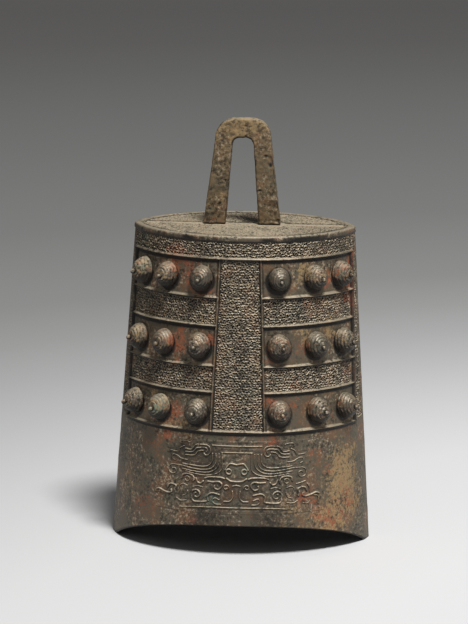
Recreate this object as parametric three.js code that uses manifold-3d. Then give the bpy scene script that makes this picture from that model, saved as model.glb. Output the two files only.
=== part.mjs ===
// Bronze zhong bell with a plain suspension loop and thirty-six coiled bosses.
// Millimetres, +Z up. X runs between the two side ridges, the front face looks along -Y,
// and the origin is the middle of the mouth, level with the two tips the bell stands on.
import * as THREE from "three";
import { mergeVertices } from "three/addons/utils/BufferGeometryUtils.js";
import Module from "manifold-3d";

const wasm = await Module();
wasm.setup();

// Driving dimensions

// Shell: two curved walls that meet in a sharp ridge on each side, narrowing to a flat crown.
const bodyHeight = 218;
const mouthWidth = 178;
const mouthDepth = 142;
const crownWidth = 150;
const crownDepth = 108;
const wall = 5;
const crownThickness = 5.5;
const lipThickness = 7;
const lipBandHeight = 16;
const archHeight = 22;
const archShoulder = 70;
const tipFlat = 3;

// Crown: a smooth rim and border around two shallow patterned panels, with a plain strip between.
const rimHeight = 3.2;
const rimRise = 0.7;
const borderWidth = 5;
const panelRecess = 0.6;
const stripWidth = 6;

// Raised frame on each face: three rows of bosses with two narrow bands between them,
// on both sides of a tall middle panel.
const frameBottom = 85.7;
const lowerRowHeight = 26.4;
const lowerBandHeight = 17.6;
const middleRowHeight = 27.4;
const upperBandHeight = 19;
const upperRowHeight = 26;
const middlePanelFootWidth = 36.5;
const middlePanelTopWidth = 27.2;
const sideStripFoot = 5.1;
const sideStripTop = 2.5;
const ribWidth = 2.2;
const uprightRibWidth = 1.3;
const ribRise = 2;

// Ornament below the frame: lines that sweep up beside the middle and curl at their ends, a small
// mask, and hooked bars. It is drawn on squared paper, from its middle and its foot: each point
// is a number of squares out and up, and the same strokes are laid on both sides of the middle.
const ornamentFoot = 31;
const ornamentSquare = 1;
const ornamentRise = 0.8;
const lineWidth = 1.1;
const barWidth = 1.6;
const linePaths = {
  scrollTop: [[35, 41.8], [31, 41.6], [27.2, 45.3], [21, 45.5], [18, 43], [18.4, 39.8], [21, 38.8]],
  scrollFoot: [[35, 37.4], [29.2, 37.8], [26, 40.9], [22.9, 41.6]],
  curledSweep: [[14.2, 40], [14.2, 34], [18, 29.6], [25, 28.6], [42, 30.4], [45.6, 27], [43.4, 23]],
  hookedSweep: [[12, 40], [12, 33.5], [16, 28.4], [24.2, 26.8], [41.6, 28.4], [43, 25.2]],
  outerSweep: [[9.9, 41], [9.8, 31], [14, 26.8], [21.5, 25.5], [35, 26.8]],
  topLine: [[0, 45.6], [16.8, 45.6]],
  headLine: [[0, 41], [10.4, 41]],
  footLine: [[0, 3.5], [25, 3.5], [40, 2.1]],
};
const barPaths = {
  brow: [[0, 32.8], [4.1, 33.6], [7.6, 29.6]],
  eye: [[3.6, 28], [6.4, 28]],
  jaw: [[0, 21.4], [6.4, 23]],
  shoulderBar: [[21.2, 22.9], [18, 24], [8.2, 23.4]],
  shoulderHook: [[19.2, 20.8], [12, 21], [9.9, 19], [11.6, 15.8], [14.7, 16.6]],
  cup: [[27.5, 22.2], [25.2, 19.2], [22.6, 20.6]],
  arch: [[37.5, 21.2], [35.6, 24.4], [30.7, 24.2], [29, 20]],
  outerHook: [[46.9, 13.9], [43.4, 16.5], [41.2, 15], [41.6, 10.8]],
  outerTail: [[54, 11.8], [46.4, 10]],
  coil: [[30.4, 9.8], [30.4, 14], [27.2, 15.4], [24, 13.6], [24.2, 10], [27.4, 10.4]],
  footBar: [[30.6, 8.2], [28.4, 6.5], [20.2, 7.1]],
  footHook: [[18.9, 7.7], [18.8, 12], [15.4, 13.2], [11.6, 12.1]],
};

// Bosses: stepped coils with a small nub, a little taller than wide, each on a tenon that goes
// through the wall.
const bossWidth = 16.4;
const bossTallness = 18.2;
const bossHeight = 12.6;
const nubDiameter = 3.4;
const coilSteps = 3;
const coilLedge = 0.7;
const bossTenonDiameter = 6;
const innerBossShare = 0.335;
const centreBossShare = 0.64;
const outerBossShare = 0.855;

// Loop: one flat bar bent into a tall arch, with a tenon below each leg.
const loopHeight = 72.8;
const loopFootWidth = 53;
const loopShoulderWidth = 39;
const loopDepth = 11;
const loopCorner = 16;
const loopOffset = -2;
const loopEdge = 0.8;
const eyeFootWidth = 22.4;
const eyeTopWidth = 14;
const loopTopBar = 13.5;
const eyeCorner = 5.5;
const loopTenonShoulder = 2.5;

// Joints between castings, and what tools need to cut cleanly.
const castGap = 0.3;
const tenonProud = 0.5;
const overrun = 2;
const archSegments = 10;
const bossSegments = 8;
const loopCurveSegments = 7;

// Heights and edges that follow from them

const rows = {};
rows.lower = [frameBottom, frameBottom + lowerRowHeight];
const lowerBand = [rows.lower[1], rows.lower[1] + lowerBandHeight];
rows.middle = [lowerBand[1], lowerBand[1] + middleRowHeight];
const upperBand = [rows.middle[1], rows.middle[1] + upperBandHeight];
rows.upper = [upperBand[1], upperBand[1] + upperRowHeight];
const frameTop = rows.upper[1];
const frameHeight = frameTop - frameBottom;
const bossColumns = { inner: innerBossShare, centre: centreBossShare, outer: outerBossShare };
const eyeHeight = loopHeight - loopTopBar;
const lerp = THREE.MathUtils.lerp;

const halfWidth = (z) => lerp(mouthWidth, crownWidth, z / bodyHeight) / 2;
const halfDepth = (z) => lerp(mouthDepth, crownDepth, z / bodyHeight) / 2;
const frameShare = (z) => (z - frameBottom) / frameHeight;
const middlePanelEdge = (z) => lerp(middlePanelFootWidth, middlePanelTopWidth, frameShare(z)) / 2;
const frameEdge = (z) => halfWidth(z) - lerp(sideStripFoot, sideStripTop, frameShare(z));

// The plan outline is two equal arcs: this is the radius of each, at the mouth.
const arcRadius = (width, depth) => (width * width + depth * depth) / (4 * depth);
const mouthArc = arcRadius(mouthWidth, mouthDepth);

// A point of the front wall, at a share of the half width from the middle, and the way it faces.
function wallPoint(share, z) {
  const x = (share * mouthWidth) / 2;
  const y = Math.sqrt(mouthArc * mouthArc - x * x) - (mouthArc - mouthDepth / 2);
  return new THREE.Vector3(share * halfWidth(z), (-y * halfDepth(z)) / halfDepth(0), z);
}

// The turn that sets a piece on the wall: its X runs across the face, its Y points straight out.
function wallTurn(share, z) {
  const step = 1 / archSegments;
  const across = wallPoint(share + step / 2, z).sub(wallPoint(share - step / 2, z)).normalize();
  const up = wallPoint(share, bodyHeight).sub(wallPoint(share, 0));
  const outward = across.clone().cross(up).normalize();
  const down = across.clone().cross(outward);
  return new THREE.Matrix4().makeBasis(across, outward, down);
}

// Solids

function solidFrom(geometry) {
  const bare = geometry.index ? geometry.toNonIndexed() : geometry.clone();
  bare.deleteAttribute("normal");
  bare.deleteAttribute("uv");
  const merged = mergeVertices(bare, 1e-4);
  const mesh = new wasm.Mesh({
    numProp: 3,
    vertProperties: merged.attributes.position.array,
    triVerts: new Uint32Array(merged.index.array),
  });
  return new wasm.Manifold(mesh);
}

function geometryFrom(solid) {
  const mesh = solid.getMesh();
  const geometry = new THREE.BufferGeometry();
  geometry.setAttribute("position", new THREE.BufferAttribute(mesh.vertProperties, 3));
  geometry.setIndex(new THREE.BufferAttribute(mesh.triVerts, 1));
  geometry.computeVertexNormals();
  return geometry;
}

function almond(width, depth) {
  const radius = arcRadius(width, depth);
  const half = Math.asin(width / 2 / radius);
  const shape = new THREE.Shape();
  shape.absarc(0, radius - depth / 2, radius, -Math.PI / 2 - half, -Math.PI / 2 + half, false);
  shape.absarc(0, depth / 2 - radius, radius, Math.PI / 2 - half, Math.PI / 2 + half, false);
  return shape;
}

// A slice of the shell's outer form between two heights, grown or shrunk at each end.
function slice(low, high, growLow, growHigh = growLow) {
  const geometry = new THREE.ExtrudeGeometry(almond(mouthWidth, mouthDepth), {
    depth: 1,
    bevelEnabled: false,
    curveSegments: archSegments,
  });
  const place = geometry.attributes.position;
  for (let i = 0; i < place.count; i++) {
    const z = lerp(low, high, place.getZ(i));
    const grow = lerp(growLow, growHigh, place.getZ(i));
    const x = (place.getX(i) * (halfWidth(z) + grow)) / halfWidth(0);
    const y = (place.getY(i) * (halfDepth(z) + grow)) / halfDepth(0);
    place.setXYZ(i, x, y, z);
  }
  return solidFrom(geometry);
}

// A shape drawn in the front view, x across and z up, carried right through the bell.
function frontPrism(shape) {
  const depth = mouthDepth + 2 * (ribRise + overrun);
  const geometry = new THREE.ExtrudeGeometry(shape, {
    depth,
    bevelEnabled: false,
    curveSegments: archSegments,
  });
  geometry.rotateX(Math.PI / 2).translate(0, depth / 2, 0);
  return solidFrom(geometry);
}

function block(width, depth, height, x, y, z) {
  return solidFrom(new THREE.BoxGeometry(width, depth, height).translate(x, y, z));
}

function union(solids) {
  return solids.reduce((all, solid) => all.add(solid));
}

// Raised frame

// The corners of a four-sided field between two edges, from its lower to its upper level.
function field(leftEdge, rightEdge, [low, high]) {
  return new THREE.Shape([
    new THREE.Vector2(leftEdge(low), low),
    new THREE.Vector2(rightEdge(low), low),
    new THREE.Vector2(rightEdge(high), high),
    new THREE.Vector2(leftEdge(high), high),
  ]);
}

function raisedFrame() {
  const half = ribWidth / 2;
  const span = [frameBottom - half, frameTop + half];
  const inside = ([low, high]) => [low + half, high - half];
  const inner = (z) => middlePanelEdge(z) + uprightRibWidth / 2;
  const outer = (z) => frameEdge(z) - uprightRibWidth;
  const panelEdge = (z) => middlePanelEdge(z) - uprightRibWidth / 2;
  const openings = [field((z) => -panelEdge(z), panelEdge, inside([frameBottom, frameTop]))];
  for (const level of [rows.lower, lowerBand, rows.middle, upperBand, rows.upper]) {
    openings.push(field(inner, outer, inside(level)));
    openings.push(field((z) => -outer(z), (z) => -inner(z), inside(level)));
  }
  const plate = frontPrism(field((z) => -frameEdge(z), frameEdge, span));
  const ribs = plate.subtract(union(openings.map((shape) => frontPrism(shape))));
  return slice(span[0], span[1], ribRise).intersect(ribs);
}

// Ornament

// A point drawn on squared paper, as a place in the front view.
const squares = ([out, up]) =>
  new THREE.Vector2(out, up).multiplyScalar(ornamentSquare).add(new THREE.Vector2(0, ornamentFoot));

// A stroke of even width along a path, squared off at its ends.
function stroke(path, width) {
  const points = path.map(squares);
  const edge = (side) =>
    points.map((point, i) => {
      const before = points[Math.max(i - 1, 0)];
      const after = points[Math.min(i + 1, points.length - 1)];
      const along = after.clone().sub(before).normalize();
      return new THREE.Vector2(-along.y, along.x).multiplyScalar((side * width) / 2).add(point);
    });
  return new THREE.Shape([...edge(1), ...edge(-1).reverse()]);
}

function ornament() {
  const strokes = [
    ...Object.values(linePaths).map((path) => stroke(path, lineWidth)),
    ...Object.values(barPaths).map((path) => stroke(path, barWidth)),
  ];
  const half = union(strokes.map((shape) => frontPrism(shape)));
  const whole = half.add(half.mirror([1, 0, 0]));
  return slice(ornamentFoot, frameBottom, ornamentRise).intersect(whole);
}

// Crown

// The plain ground that stays between the two recessed panels: a strip from tip to tip, and a
// wider seat below each leg of the loop.
const loopLegWidth = (loopFootWidth - eyeFootWidth) / 2;
const loopLegPlaces = [-1, 1].map((side) => loopOffset + (side * (loopFootWidth + eyeFootWidth)) / 4);
const loopSeatMargin = stripWidth / 4;

function crownPanels() {
  const height = panelRecess + overrun;
  const middle = bodyHeight - panelRecess + height / 2;
  const field = slice(bodyHeight - panelRecess, bodyHeight + overrun, -borderWidth);
  const strip = block(crownWidth, stripWidth, height, 0, 0, middle);
  const seats = loopLegPlaces.map((x) =>
    block(loopLegWidth + 2 * loopSeatMargin, loopDepth + 2 * loopSeatMargin, height, x, 0, middle),
  );
  return field.subtract(union([strip, ...seats]));
}

// Places of the inserted pieces

const faces = [
  { name: "front", turn: 0 },
  { name: "back", turn: Math.PI },
];
const sides = [
  { name: "left", sign: -1 },
  { name: "right", sign: 1 },
];

// Every boss: its name, and where it sits on the wall. Left and right are as seen by someone
// who faces that side of the bell.
function bossPlaces() {
  const places = [];
  for (const face of faces) {
    for (const side of sides) {
      for (const [row, [low, high]] of Object.entries(rows)) {
        for (const [column, share] of Object.entries(bossColumns)) {
          const level = (low + high) / 2;
          const seat = wallTurn(side.sign * share, level);
          seat.setPosition(wallPoint(side.sign * share, level));
          seat.premultiply(new THREE.Matrix4().makeRotationZ(face.turn));
          places.push({ name: `boss_${face.name}_${side.name}_${row}_${column}`, seat });
        }
      }
    }
  }
  return places;
}

function bossSocket({ seat }) {
  const depth = wall + lipThickness;
  const radius = bossTenonDiameter / 2 + castGap;
  const bore = new THREE.CylinderGeometry(radius, radius, 2 * depth, bossSegments);
  return solidFrom(bore.applyMatrix4(seat));
}

function loopTenon(x, room) {
  const width = loopLegWidth - 2 * loopTenonShoulder + 2 * room;
  const depth = loopDepth - 2 * loopTenonShoulder + 2 * room;
  const below = crownThickness + (room ? overrun : tenonProud);
  const top = bodyHeight + overrun;
  const height = top - (bodyHeight - below);
  return block(width, depth, height, x, 0, top - height / 2);
}

// The pieces

function bellBlank() {
  const form = union([
    slice(0, bodyHeight, 0),
    slice(bodyHeight - rimHeight, bodyHeight, rimRise),
    raisedFrame(),
    ornament(),
  ]);
  const cavity = union([
    slice(-overrun, lipBandHeight, -lipThickness, -wall),
    slice(lipBandHeight, bodyHeight - crownThickness, -wall),
  ]);
  const archEnd = mouthWidth / 2 - tipFlat;
  const arch = new THREE.Shape();
  arch.moveTo(-archEnd, -overrun);
  arch.lineTo(archEnd, -overrun);
  arch.lineTo(archEnd, 0);
  arch.quadraticCurveTo(archShoulder, archHeight, 0, archHeight);
  arch.quadraticCurveTo(-archShoulder, archHeight, -archEnd, 0);
  return form.subtract(cavity).subtract(frontPrism(arch)).subtract(crownPanels());
}

function bossGeometry() {
  const base = bossTallness / 2;
  const nub = nubDiameter / 2;
  const tenon = bossTenonDiameter / 2;
  const coilHeight = bossHeight - nubDiameter;
  const profile = [
    new THREE.Vector2(0, -wall - tenonProud),
    new THREE.Vector2(tenon, -wall - tenonProud),
    new THREE.Vector2(tenon, castGap),
  ];
  // Each turn of the coil swells, then steps in by a ledge, on a dome that narrows to the nub.
  const dome = (share) => lerp(nub, base, Math.cos((share * Math.PI) / 2));
  for (let step = 0; step < coilSteps; step++) {
    const low = step / coilSteps;
    const high = (step + 1) / coilSteps;
    profile.push(new THREE.Vector2(dome(low), castGap + low * coilHeight));
    profile.push(new THREE.Vector2(dome(high) + coilLedge, castGap + high * coilHeight));
  }
  profile.push(new THREE.Vector2(nub, castGap + coilHeight));
  profile.push(new THREE.Vector2(nub, castGap + bossHeight - nub));
  profile.push(new THREE.Vector2(0, castGap + bossHeight));
  const geometry = new THREE.LatheGeometry(profile, bossSegments);
  const place = geometry.attributes.position;
  for (let i = 0; i < place.count; i++) {
    const narrowing = place.getY(i) < 0 ? 1 : bossWidth / bossTallness;
    place.setX(i, place.getX(i) * narrowing);
  }
  return geometry;
}

function loopGeometry() {
  const foot = loopFootWidth / 2;
  const shoulder = loopShoulderWidth / 2;
  const eyeFoot = eyeFootWidth / 2;
  const eyeTop = eyeTopWidth / 2;
  const bar = new THREE.Shape();
  bar.moveTo(-foot, 0);
  bar.lineTo(-eyeFoot, 0);
  bar.lineTo(-eyeTop, eyeHeight - eyeCorner);
  bar.quadraticCurveTo(-eyeTop, eyeHeight, eyeCorner - eyeTop, eyeHeight);
  bar.lineTo(eyeTop - eyeCorner, eyeHeight);
  bar.quadraticCurveTo(eyeTop, eyeHeight, eyeTop, eyeHeight - eyeCorner);
  bar.lineTo(eyeFoot, 0);
  bar.lineTo(foot, 0);
  bar.lineTo(shoulder, loopHeight - loopCorner);
  bar.quadraticCurveTo(shoulder, loopHeight, shoulder - loopCorner, loopHeight);
  bar.lineTo(loopCorner - shoulder, loopHeight);
  bar.quadraticCurveTo(-shoulder, loopHeight, -shoulder, loopHeight - loopCorner);
  const depth = loopDepth - 2 * loopEdge;
  const geometry = new THREE.ExtrudeGeometry(bar, {
    depth,
    bevelThickness: loopEdge,
    bevelSize: loopEdge,
    bevelOffset: -loopEdge,
    bevelSegments: 1,
    curveSegments: loopCurveSegments,
  });
  geometry.rotateX(Math.PI / 2).translate(loopOffset, depth / 2, bodyHeight);
  const tenons = loopLegPlaces.map((x) => loopTenon(x, 0));
  return geometryFrom(union([solidFrom(geometry), ...tenons]));
}

// Assembly

const bronze = (color, roughness) =>
  new THREE.MeshStandardMaterial({ color, roughness, metalness: 0.6 });
const bodyBronze = bronze(0x5b5347, 0.62);
const bossBronze = bronze(0x6a6259, 0.5);
const loopBronze = bronze(0x7a6a4c, 0.7);

const bell = new THREE.Group();

function add(name, geometry, material) {
  const mesh = new THREE.Mesh(geometry, material);
  mesh.name = name;
  bell.add(mesh);
  return mesh;
}

const places = bossPlaces();
const blank = bellBlank();
const cuts = [
  ...places.map(bossSocket),
  ...loopLegPlaces.map((x) => loopTenon(x, castGap)),
];
add("bell_body", geometryFrom(blank.subtract(union(cuts))), bodyBronze);
add("suspension_loop", loopGeometry(), loopBronze);

for (const { name, seat } of places) {
  const boss = add(name, bossGeometry(), bossBronze);
  boss.position.setFromMatrixPosition(seat);
  boss.quaternion.setFromRotationMatrix(seat);
}

export default bell;
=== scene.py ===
"""Cast surface, ornament, coiled bosses, loop and patina of a bronze zhong bell.

The bell stands on the two tips of its mouth. X runs between the ridges, the front faces -Y and Z is up.
Patterns are worked out in millimetres and turned to metres when a mesh is written.
"""

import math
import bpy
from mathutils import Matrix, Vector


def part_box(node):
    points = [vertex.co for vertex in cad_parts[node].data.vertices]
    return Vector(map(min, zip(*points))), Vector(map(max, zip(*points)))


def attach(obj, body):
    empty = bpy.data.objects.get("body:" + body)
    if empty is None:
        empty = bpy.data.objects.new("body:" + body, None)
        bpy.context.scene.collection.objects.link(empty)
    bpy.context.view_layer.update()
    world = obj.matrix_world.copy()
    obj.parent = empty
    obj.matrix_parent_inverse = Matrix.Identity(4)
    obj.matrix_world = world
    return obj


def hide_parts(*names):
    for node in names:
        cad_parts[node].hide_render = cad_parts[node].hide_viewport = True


bl_info = {
    "name": "Bronze Zhong Bell",
    "version": (1, 0, 0),
    "blender": (4, 5, 0),
    "location": "View3D > Sidebar > Zhong Bell",
    "description": "Builds the cast surface, bosses, loop and patina of a bronze zhong bell",
    "category": "Add Mesh",
}

import bmesh
import bpy
import numpy as np
from bpy.props import FloatProperty, FloatVectorProperty, PointerProperty
from mathutils import Matrix, Vector

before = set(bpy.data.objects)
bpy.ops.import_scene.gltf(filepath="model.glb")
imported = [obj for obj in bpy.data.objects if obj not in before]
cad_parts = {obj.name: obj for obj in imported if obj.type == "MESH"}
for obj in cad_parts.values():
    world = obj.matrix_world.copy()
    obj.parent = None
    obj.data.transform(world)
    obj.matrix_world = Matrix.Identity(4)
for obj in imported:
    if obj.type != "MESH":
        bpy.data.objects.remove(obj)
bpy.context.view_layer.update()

MM = 0.001
BODY_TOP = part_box("bell_body")[1].z
MOUTH_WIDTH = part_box("bell_body")[1].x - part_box("bell_body")[0].x
FACES = ("front", "back")
SIDES = {"left": -1, "right": 1}
ROWS = ("lower", "middle", "upper")
COLUMNS = ("inner", "centre", "outer")


# Colour

def linear(hex_colour):
    """A written sRGB colour as linear red, green and blue."""
    parts = [int(hex_colour[i : i + 2], 16) / 255 for i in (1, 3, 5)]
    return tuple(c / 12.92 if c <= 0.04045 else ((c + 0.055) / 1.055) ** 2.4 for c in parts)


# Sizes and colours that a user would change

class ZhongProperties(bpy.types.PropertyGroup):
    """Sizes and colours of the bell."""

    mouth_width: FloatProperty(
        name="Mouth width", description="Ridge to ridge at the mouth", default=MOUTH_WIDTH, unit="LENGTH"
    )
    mouth_depth: FloatProperty(
        name="Mouth depth", description="Front to back at the mouth", default=0.142, unit="LENGTH"
    )
    crown_width: FloatProperty(
        name="Crown width", description="Ridge to ridge at the crown", default=0.150, unit="LENGTH"
    )
    crown_depth: FloatProperty(
        name="Crown depth", description="Front to back at the crown", default=0.108, unit="LENGTH"
    )
    wall: FloatProperty(name="Wall", description="Thickness of the wall", default=0.005, unit="LENGTH")
    lip: FloatProperty(name="Lip", description="Thickness at the mouth", default=0.007, unit="LENGTH")
    arch_height: FloatProperty(
        name="Arch height", description="Rise of the mouth between its tips", default=0.022, unit="LENGTH"
    )
    rib_levels: FloatVectorProperty(
        name="Rib levels",
        description="Heights of the six level ribs, from the lowest",
        size=6,
        default=(0.0857, 0.1121, 0.1297, 0.1571, 0.1761, 0.2021),
        unit="LENGTH",
    )
    rib_rise: FloatProperty(
        name="Rib rise", description="How far the ribs stand out", default=0.002, unit="LENGTH"
    )
    curl_pitch: FloatProperty(
        name="Curl pitch", description="Distance between the small cast curls", default=0.0019, unit="LENGTH"
    )
    boss_width: FloatProperty(
        name="Boss width", description="Width of a boss at its foot", default=0.0164, unit="LENGTH"
    )
    boss_tallness: FloatProperty(
        name="Boss tallness", description="Upright size of a boss at its foot", default=0.0182, unit="LENGTH"
    )
    boss_height: FloatProperty(
        name="Boss height", description="How far a boss stands out", default=0.0126, unit="LENGTH"
    )
    boss_turns: FloatProperty(name="Coil turns", description="Turns of the coil on a boss", default=5.2)
    bronze: FloatVectorProperty(
        name="Bronze", description="Patinated metal", subtype="COLOR", default=linear("#645a4a")
    )
    # Also the colour of painted shade on downward faces, under ribs and bosses and inside the bell
    hollow_soil_and_shade: FloatVectorProperty(
        name="Recess", description="Soil in the hollows", subtype="COLOR", default=linear("#14110e")
    )
    # Also the colour of painted top light on upward faces
    worn: FloatVectorProperty(
        name="Worn metal", description="Rubbed and dusty places", subtype="COLOR", default=linear("#c8b99f")
    )
    cuprite: FloatVectorProperty(
        name="Cuprite", description="Red copper oxide", subtype="COLOR", default=linear("#9a5230")
    )
    verdigris: FloatVectorProperty(
        name="Verdigris", description="Green copper crust", subtype="COLOR", default=linear("#617a6b")
    )
    ochre: FloatVectorProperty(
        name="Ochre crust", description="Tan burial crust", subtype="COLOR", default=linear("#a88b60")
    )
    # Paler than the body's tone, for dust and partly as painted top light on the crown
    crown_tone: FloatVectorProperty(
        name="Crown tone", description="Dusty metal of the crown", subtype="COLOR", default=linear("#998d74")
    )
    boss_tone: FloatVectorProperty(
        name="Boss tone", description="Metal of the bosses", subtype="COLOR", default=linear("#625b4f")
    )
    loop_tone: FloatVectorProperty(
        name="Loop tone", description="Metal of the loop", subtype="COLOR", default=linear("#7c6a4f")
    )


# Noise

def lattice_value(cell, seed):
    """A repeatable value from 0 to 1 for each whole-number cell."""
    mixed = seed * 974_711
    for axis, prime in enumerate((73_856_093, 19_349_663, 83_492_791)[: cell.shape[-1]]):
        mixed = mixed ^ (cell[..., axis].astype(np.int64) * prime)
    mixed = (mixed ^ (mixed >> 13)) * 1_274_126_177
    mixed = mixed ^ (mixed >> 16)
    return (mixed & 0xFFFFF) / float(0x100000)


def noise(points, size, seed):
    """Smooth noise from -1 to 1 over points, with features of the given size."""
    scaled = points / size
    low = np.floor(scaled)
    part = scaled - low
    part = part * part * (3 - 2 * part)
    total = np.zeros(points.shape[:-1])
    for corner in np.ndindex(*(2,) * points.shape[-1]):
        weight = np.ones(points.shape[:-1])
        for axis, high in enumerate(corner):
            weight = weight * (part[..., axis] if high else 1 - part[..., axis])
        total += weight * lattice_value(low + np.array(corner), seed)
    return total * 2 - 1


def layered_noise(points, size, seed):
    """Noise with three finer and weaker layers on top."""
    return sum(noise(points, size / 2**layer, seed + layer) / 2**layer for layer in range(4)) / 1.9


def smooth_step(low, high, value):
    part = np.clip((value - low) / (high - low), 0, 1)
    return part * part * (3 - 2 * part)


def blend(low, high, part):
    return low + (high - low) * part


def crowded_ends(count, crowding=0.7):
    """Shares from 0 to 1 that lie closer together near both ends."""
    even = np.linspace(0, 1, count + 1)
    return even - crowding * np.sin(2 * math.pi * even) / (2 * math.pi)


# The bell's outer form, with lengths in millimetres here and below

PANEL_FOOT = 36.5
PANEL_TOP = 27.2
STRIP_FOOT = 5.1
STRIP_TOP = 2.5
RIB_WIDTH = 1.0
RIB_LIFT = 0.3
UPRIGHT_WIDTH = 1.3
RIM_HEIGHT = 3.9
RIM_RISE = 0.7
CROWN_THICKNESS = 5.5
ARCH_SHOULDER = 70.0
TIP_FLAT = 3.0
LIP_BAND = 16.0
BORDER = 5.0
STRIP_HALF = 3.0
LOOP_OFFSET = -2.0
LEG_CENTRE = 18.85
SEAT_HALF_LENGTH = 9.2
SEAT_HALF_DEPTH = 7.0


class Form:
    """The bell's outer form in millimetres: two equal arcs in plan that narrow towards the crown."""

    def __init__(self, sizes):
        self.mouth = (sizes.mouth_width / 2 / MM, sizes.mouth_depth / 2 / MM)
        self.crown = (sizes.crown_width / 2 / MM, sizes.crown_depth / 2 / MM)
        self.height = BODY_TOP / MM
        self.wall = sizes.wall / MM
        self.lip = sizes.lip / MM
        self.arch_height = sizes.arch_height / MM
        self.ribs = [level / MM for level in sizes.rib_levels]
        self.rib_rise = sizes.rib_rise / MM
        wide, deep = self.mouth
        self.radius = (wide * wide + deep * deep) / (2 * deep)
        self.ridge_angle = math.asin(wide / self.radius)

    def half_width(self, z):
        return blend(self.mouth[0], self.crown[0], z / self.height)

    def half_depth(self, z):
        return blend(self.mouth[1], self.crown[1], z / self.height)

    def angle(self, x, z):
        """The plan angle of a place at x across the face on level z."""
        share = np.clip(x / self.half_width(z), -1, 1)
        return np.arcsin(share * self.mouth[0] / self.radius)

    def along(self, x, z):
        """How far along the wall x lies from the middle on level z."""
        return self.angle(x, z) * self.radius * self.half_width(z) / self.mouth[0]

    def plan(self, angle):
        """Width and depth shares of a plan angle, each 1 at its widest."""
        wide, deep = self.mouth
        across = self.radius * np.sin(angle) / wide
        out = (self.radius * np.cos(angle) - (self.radius - deep)) / deep
        return across, out

    def point(self, angle, z, rise=0.0, grow=0.0):
        """A point of the front wall, raised along its normal by rise, or on a section grown by grow."""
        across, out = self.plan(angle)
        wide, deep = self.half_width(z) + grow, self.half_depth(z) + grow
        place = np.stack([across * wide, -out * deep, z * np.ones_like(across)], axis=-1)
        along_x = self.radius * np.cos(angle) / self.mouth[0] * wide
        along_y = self.radius * np.sin(angle) / self.mouth[1] * deep
        along = np.stack([along_x, along_y, np.zeros_like(along_x)], axis=-1)
        lean_x = across * (self.crown[0] - self.mouth[0]) / self.height
        lean_y = -out * (self.crown[1] - self.mouth[1]) / self.height
        up = np.stack([lean_x, lean_y, np.ones_like(lean_x)], axis=-1)
        normal = np.cross(along, up)
        normal /= np.linalg.norm(normal, axis=-1, keepdims=True)
        return place + normal * np.asarray(rise)[..., None]

    def frame_share(self, z):
        return (z - self.ribs[0]) / (self.ribs[-1] - self.ribs[0])

    def panel_edge(self, z):
        return blend(PANEL_FOOT, PANEL_TOP, self.frame_share(z)) / 2

    def frame_edge(self, z):
        return self.half_width(z) - blend(STRIP_FOOT, STRIP_TOP, self.frame_share(z))

    def rib_spans(self, x, z, softness):
        """The level of each rib, and a share that is 1 where that rib runs and 0 beside it."""
        inside = 1 - smooth_step(-softness, softness, np.abs(x) - self.frame_edge(z))
        beyond_panel = smooth_step(-softness, softness, np.abs(x) - self.panel_edge(z))
        for level in self.ribs:
            full_width = level in (self.ribs[0], self.ribs[-1])
            yield level, inside if full_width else inside * beyond_panel

    def row_level(self, row):
        """The height at which a row of bosses sits."""
        return (self.ribs[2 * row] + self.ribs[2 * row + 1]) / 2

    def mouth_rim(self, x):
        """Height of the mouth's edge at x: an arch between two flat tips."""
        end = self.mouth[0] - TIP_FLAT
        share = np.linspace(0, 1, 80)
        arch_x = end * (1 - share) ** 2 + 2 * ARCH_SHOULDER * share * (1 - share)
        arch_z = self.arch_height * (2 * share * (1 - share) + share**2)
        return np.interp(np.abs(x), arch_x[::-1], arch_z[::-1], right=0.0)


def turned(points, face):
    """Front points as they are, or carried round to the back of the bell."""
    return points if face == "front" else points * np.array([-1, -1, 1])


# Relief of the body

WALL_SEEDS = {"front": 11, "back": 47}
DIRT_SEEDS = {"front": 32, "back": 31}
GROUND_DEPTH = 0.9
RIB_FOOT = 0.15
RIB_ROUNDNESS = 0.6
UPRIGHT_RISE = 0.75
RIB_EDGE = 0.3
FRAME_EDGE = 0.6
# Painted shade round raised parts: its softness, its reach under ribs and beside uprights, and its ring
# round each boss, dropped below it
SHADE_EDGE = 0.5
RIB_SHADE = (1.3, 3.4)
UPRIGHT_SHADE = (0.7, 1.9)
BOSS_SHADE = (8.0, 11.2)
BOSS_SHADE_DROP = 1.6
BOSS_SHARES = {"inner": 0.335, "centre": 0.64, "outer": 0.855}
DIRT_PATCH = 22
DIRT_MOST = 0.8
DIRT_SIDES = (28, 72)
DIRT_TOP = (70, 88)


def rib_profile(distance, width, rise):
    """A half-round rib."""
    return rise * np.clip(1 - (distance / (width / 2 + RIB_FOOT)) ** 2, 0, 1) ** RIB_ROUNDNESS


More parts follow.
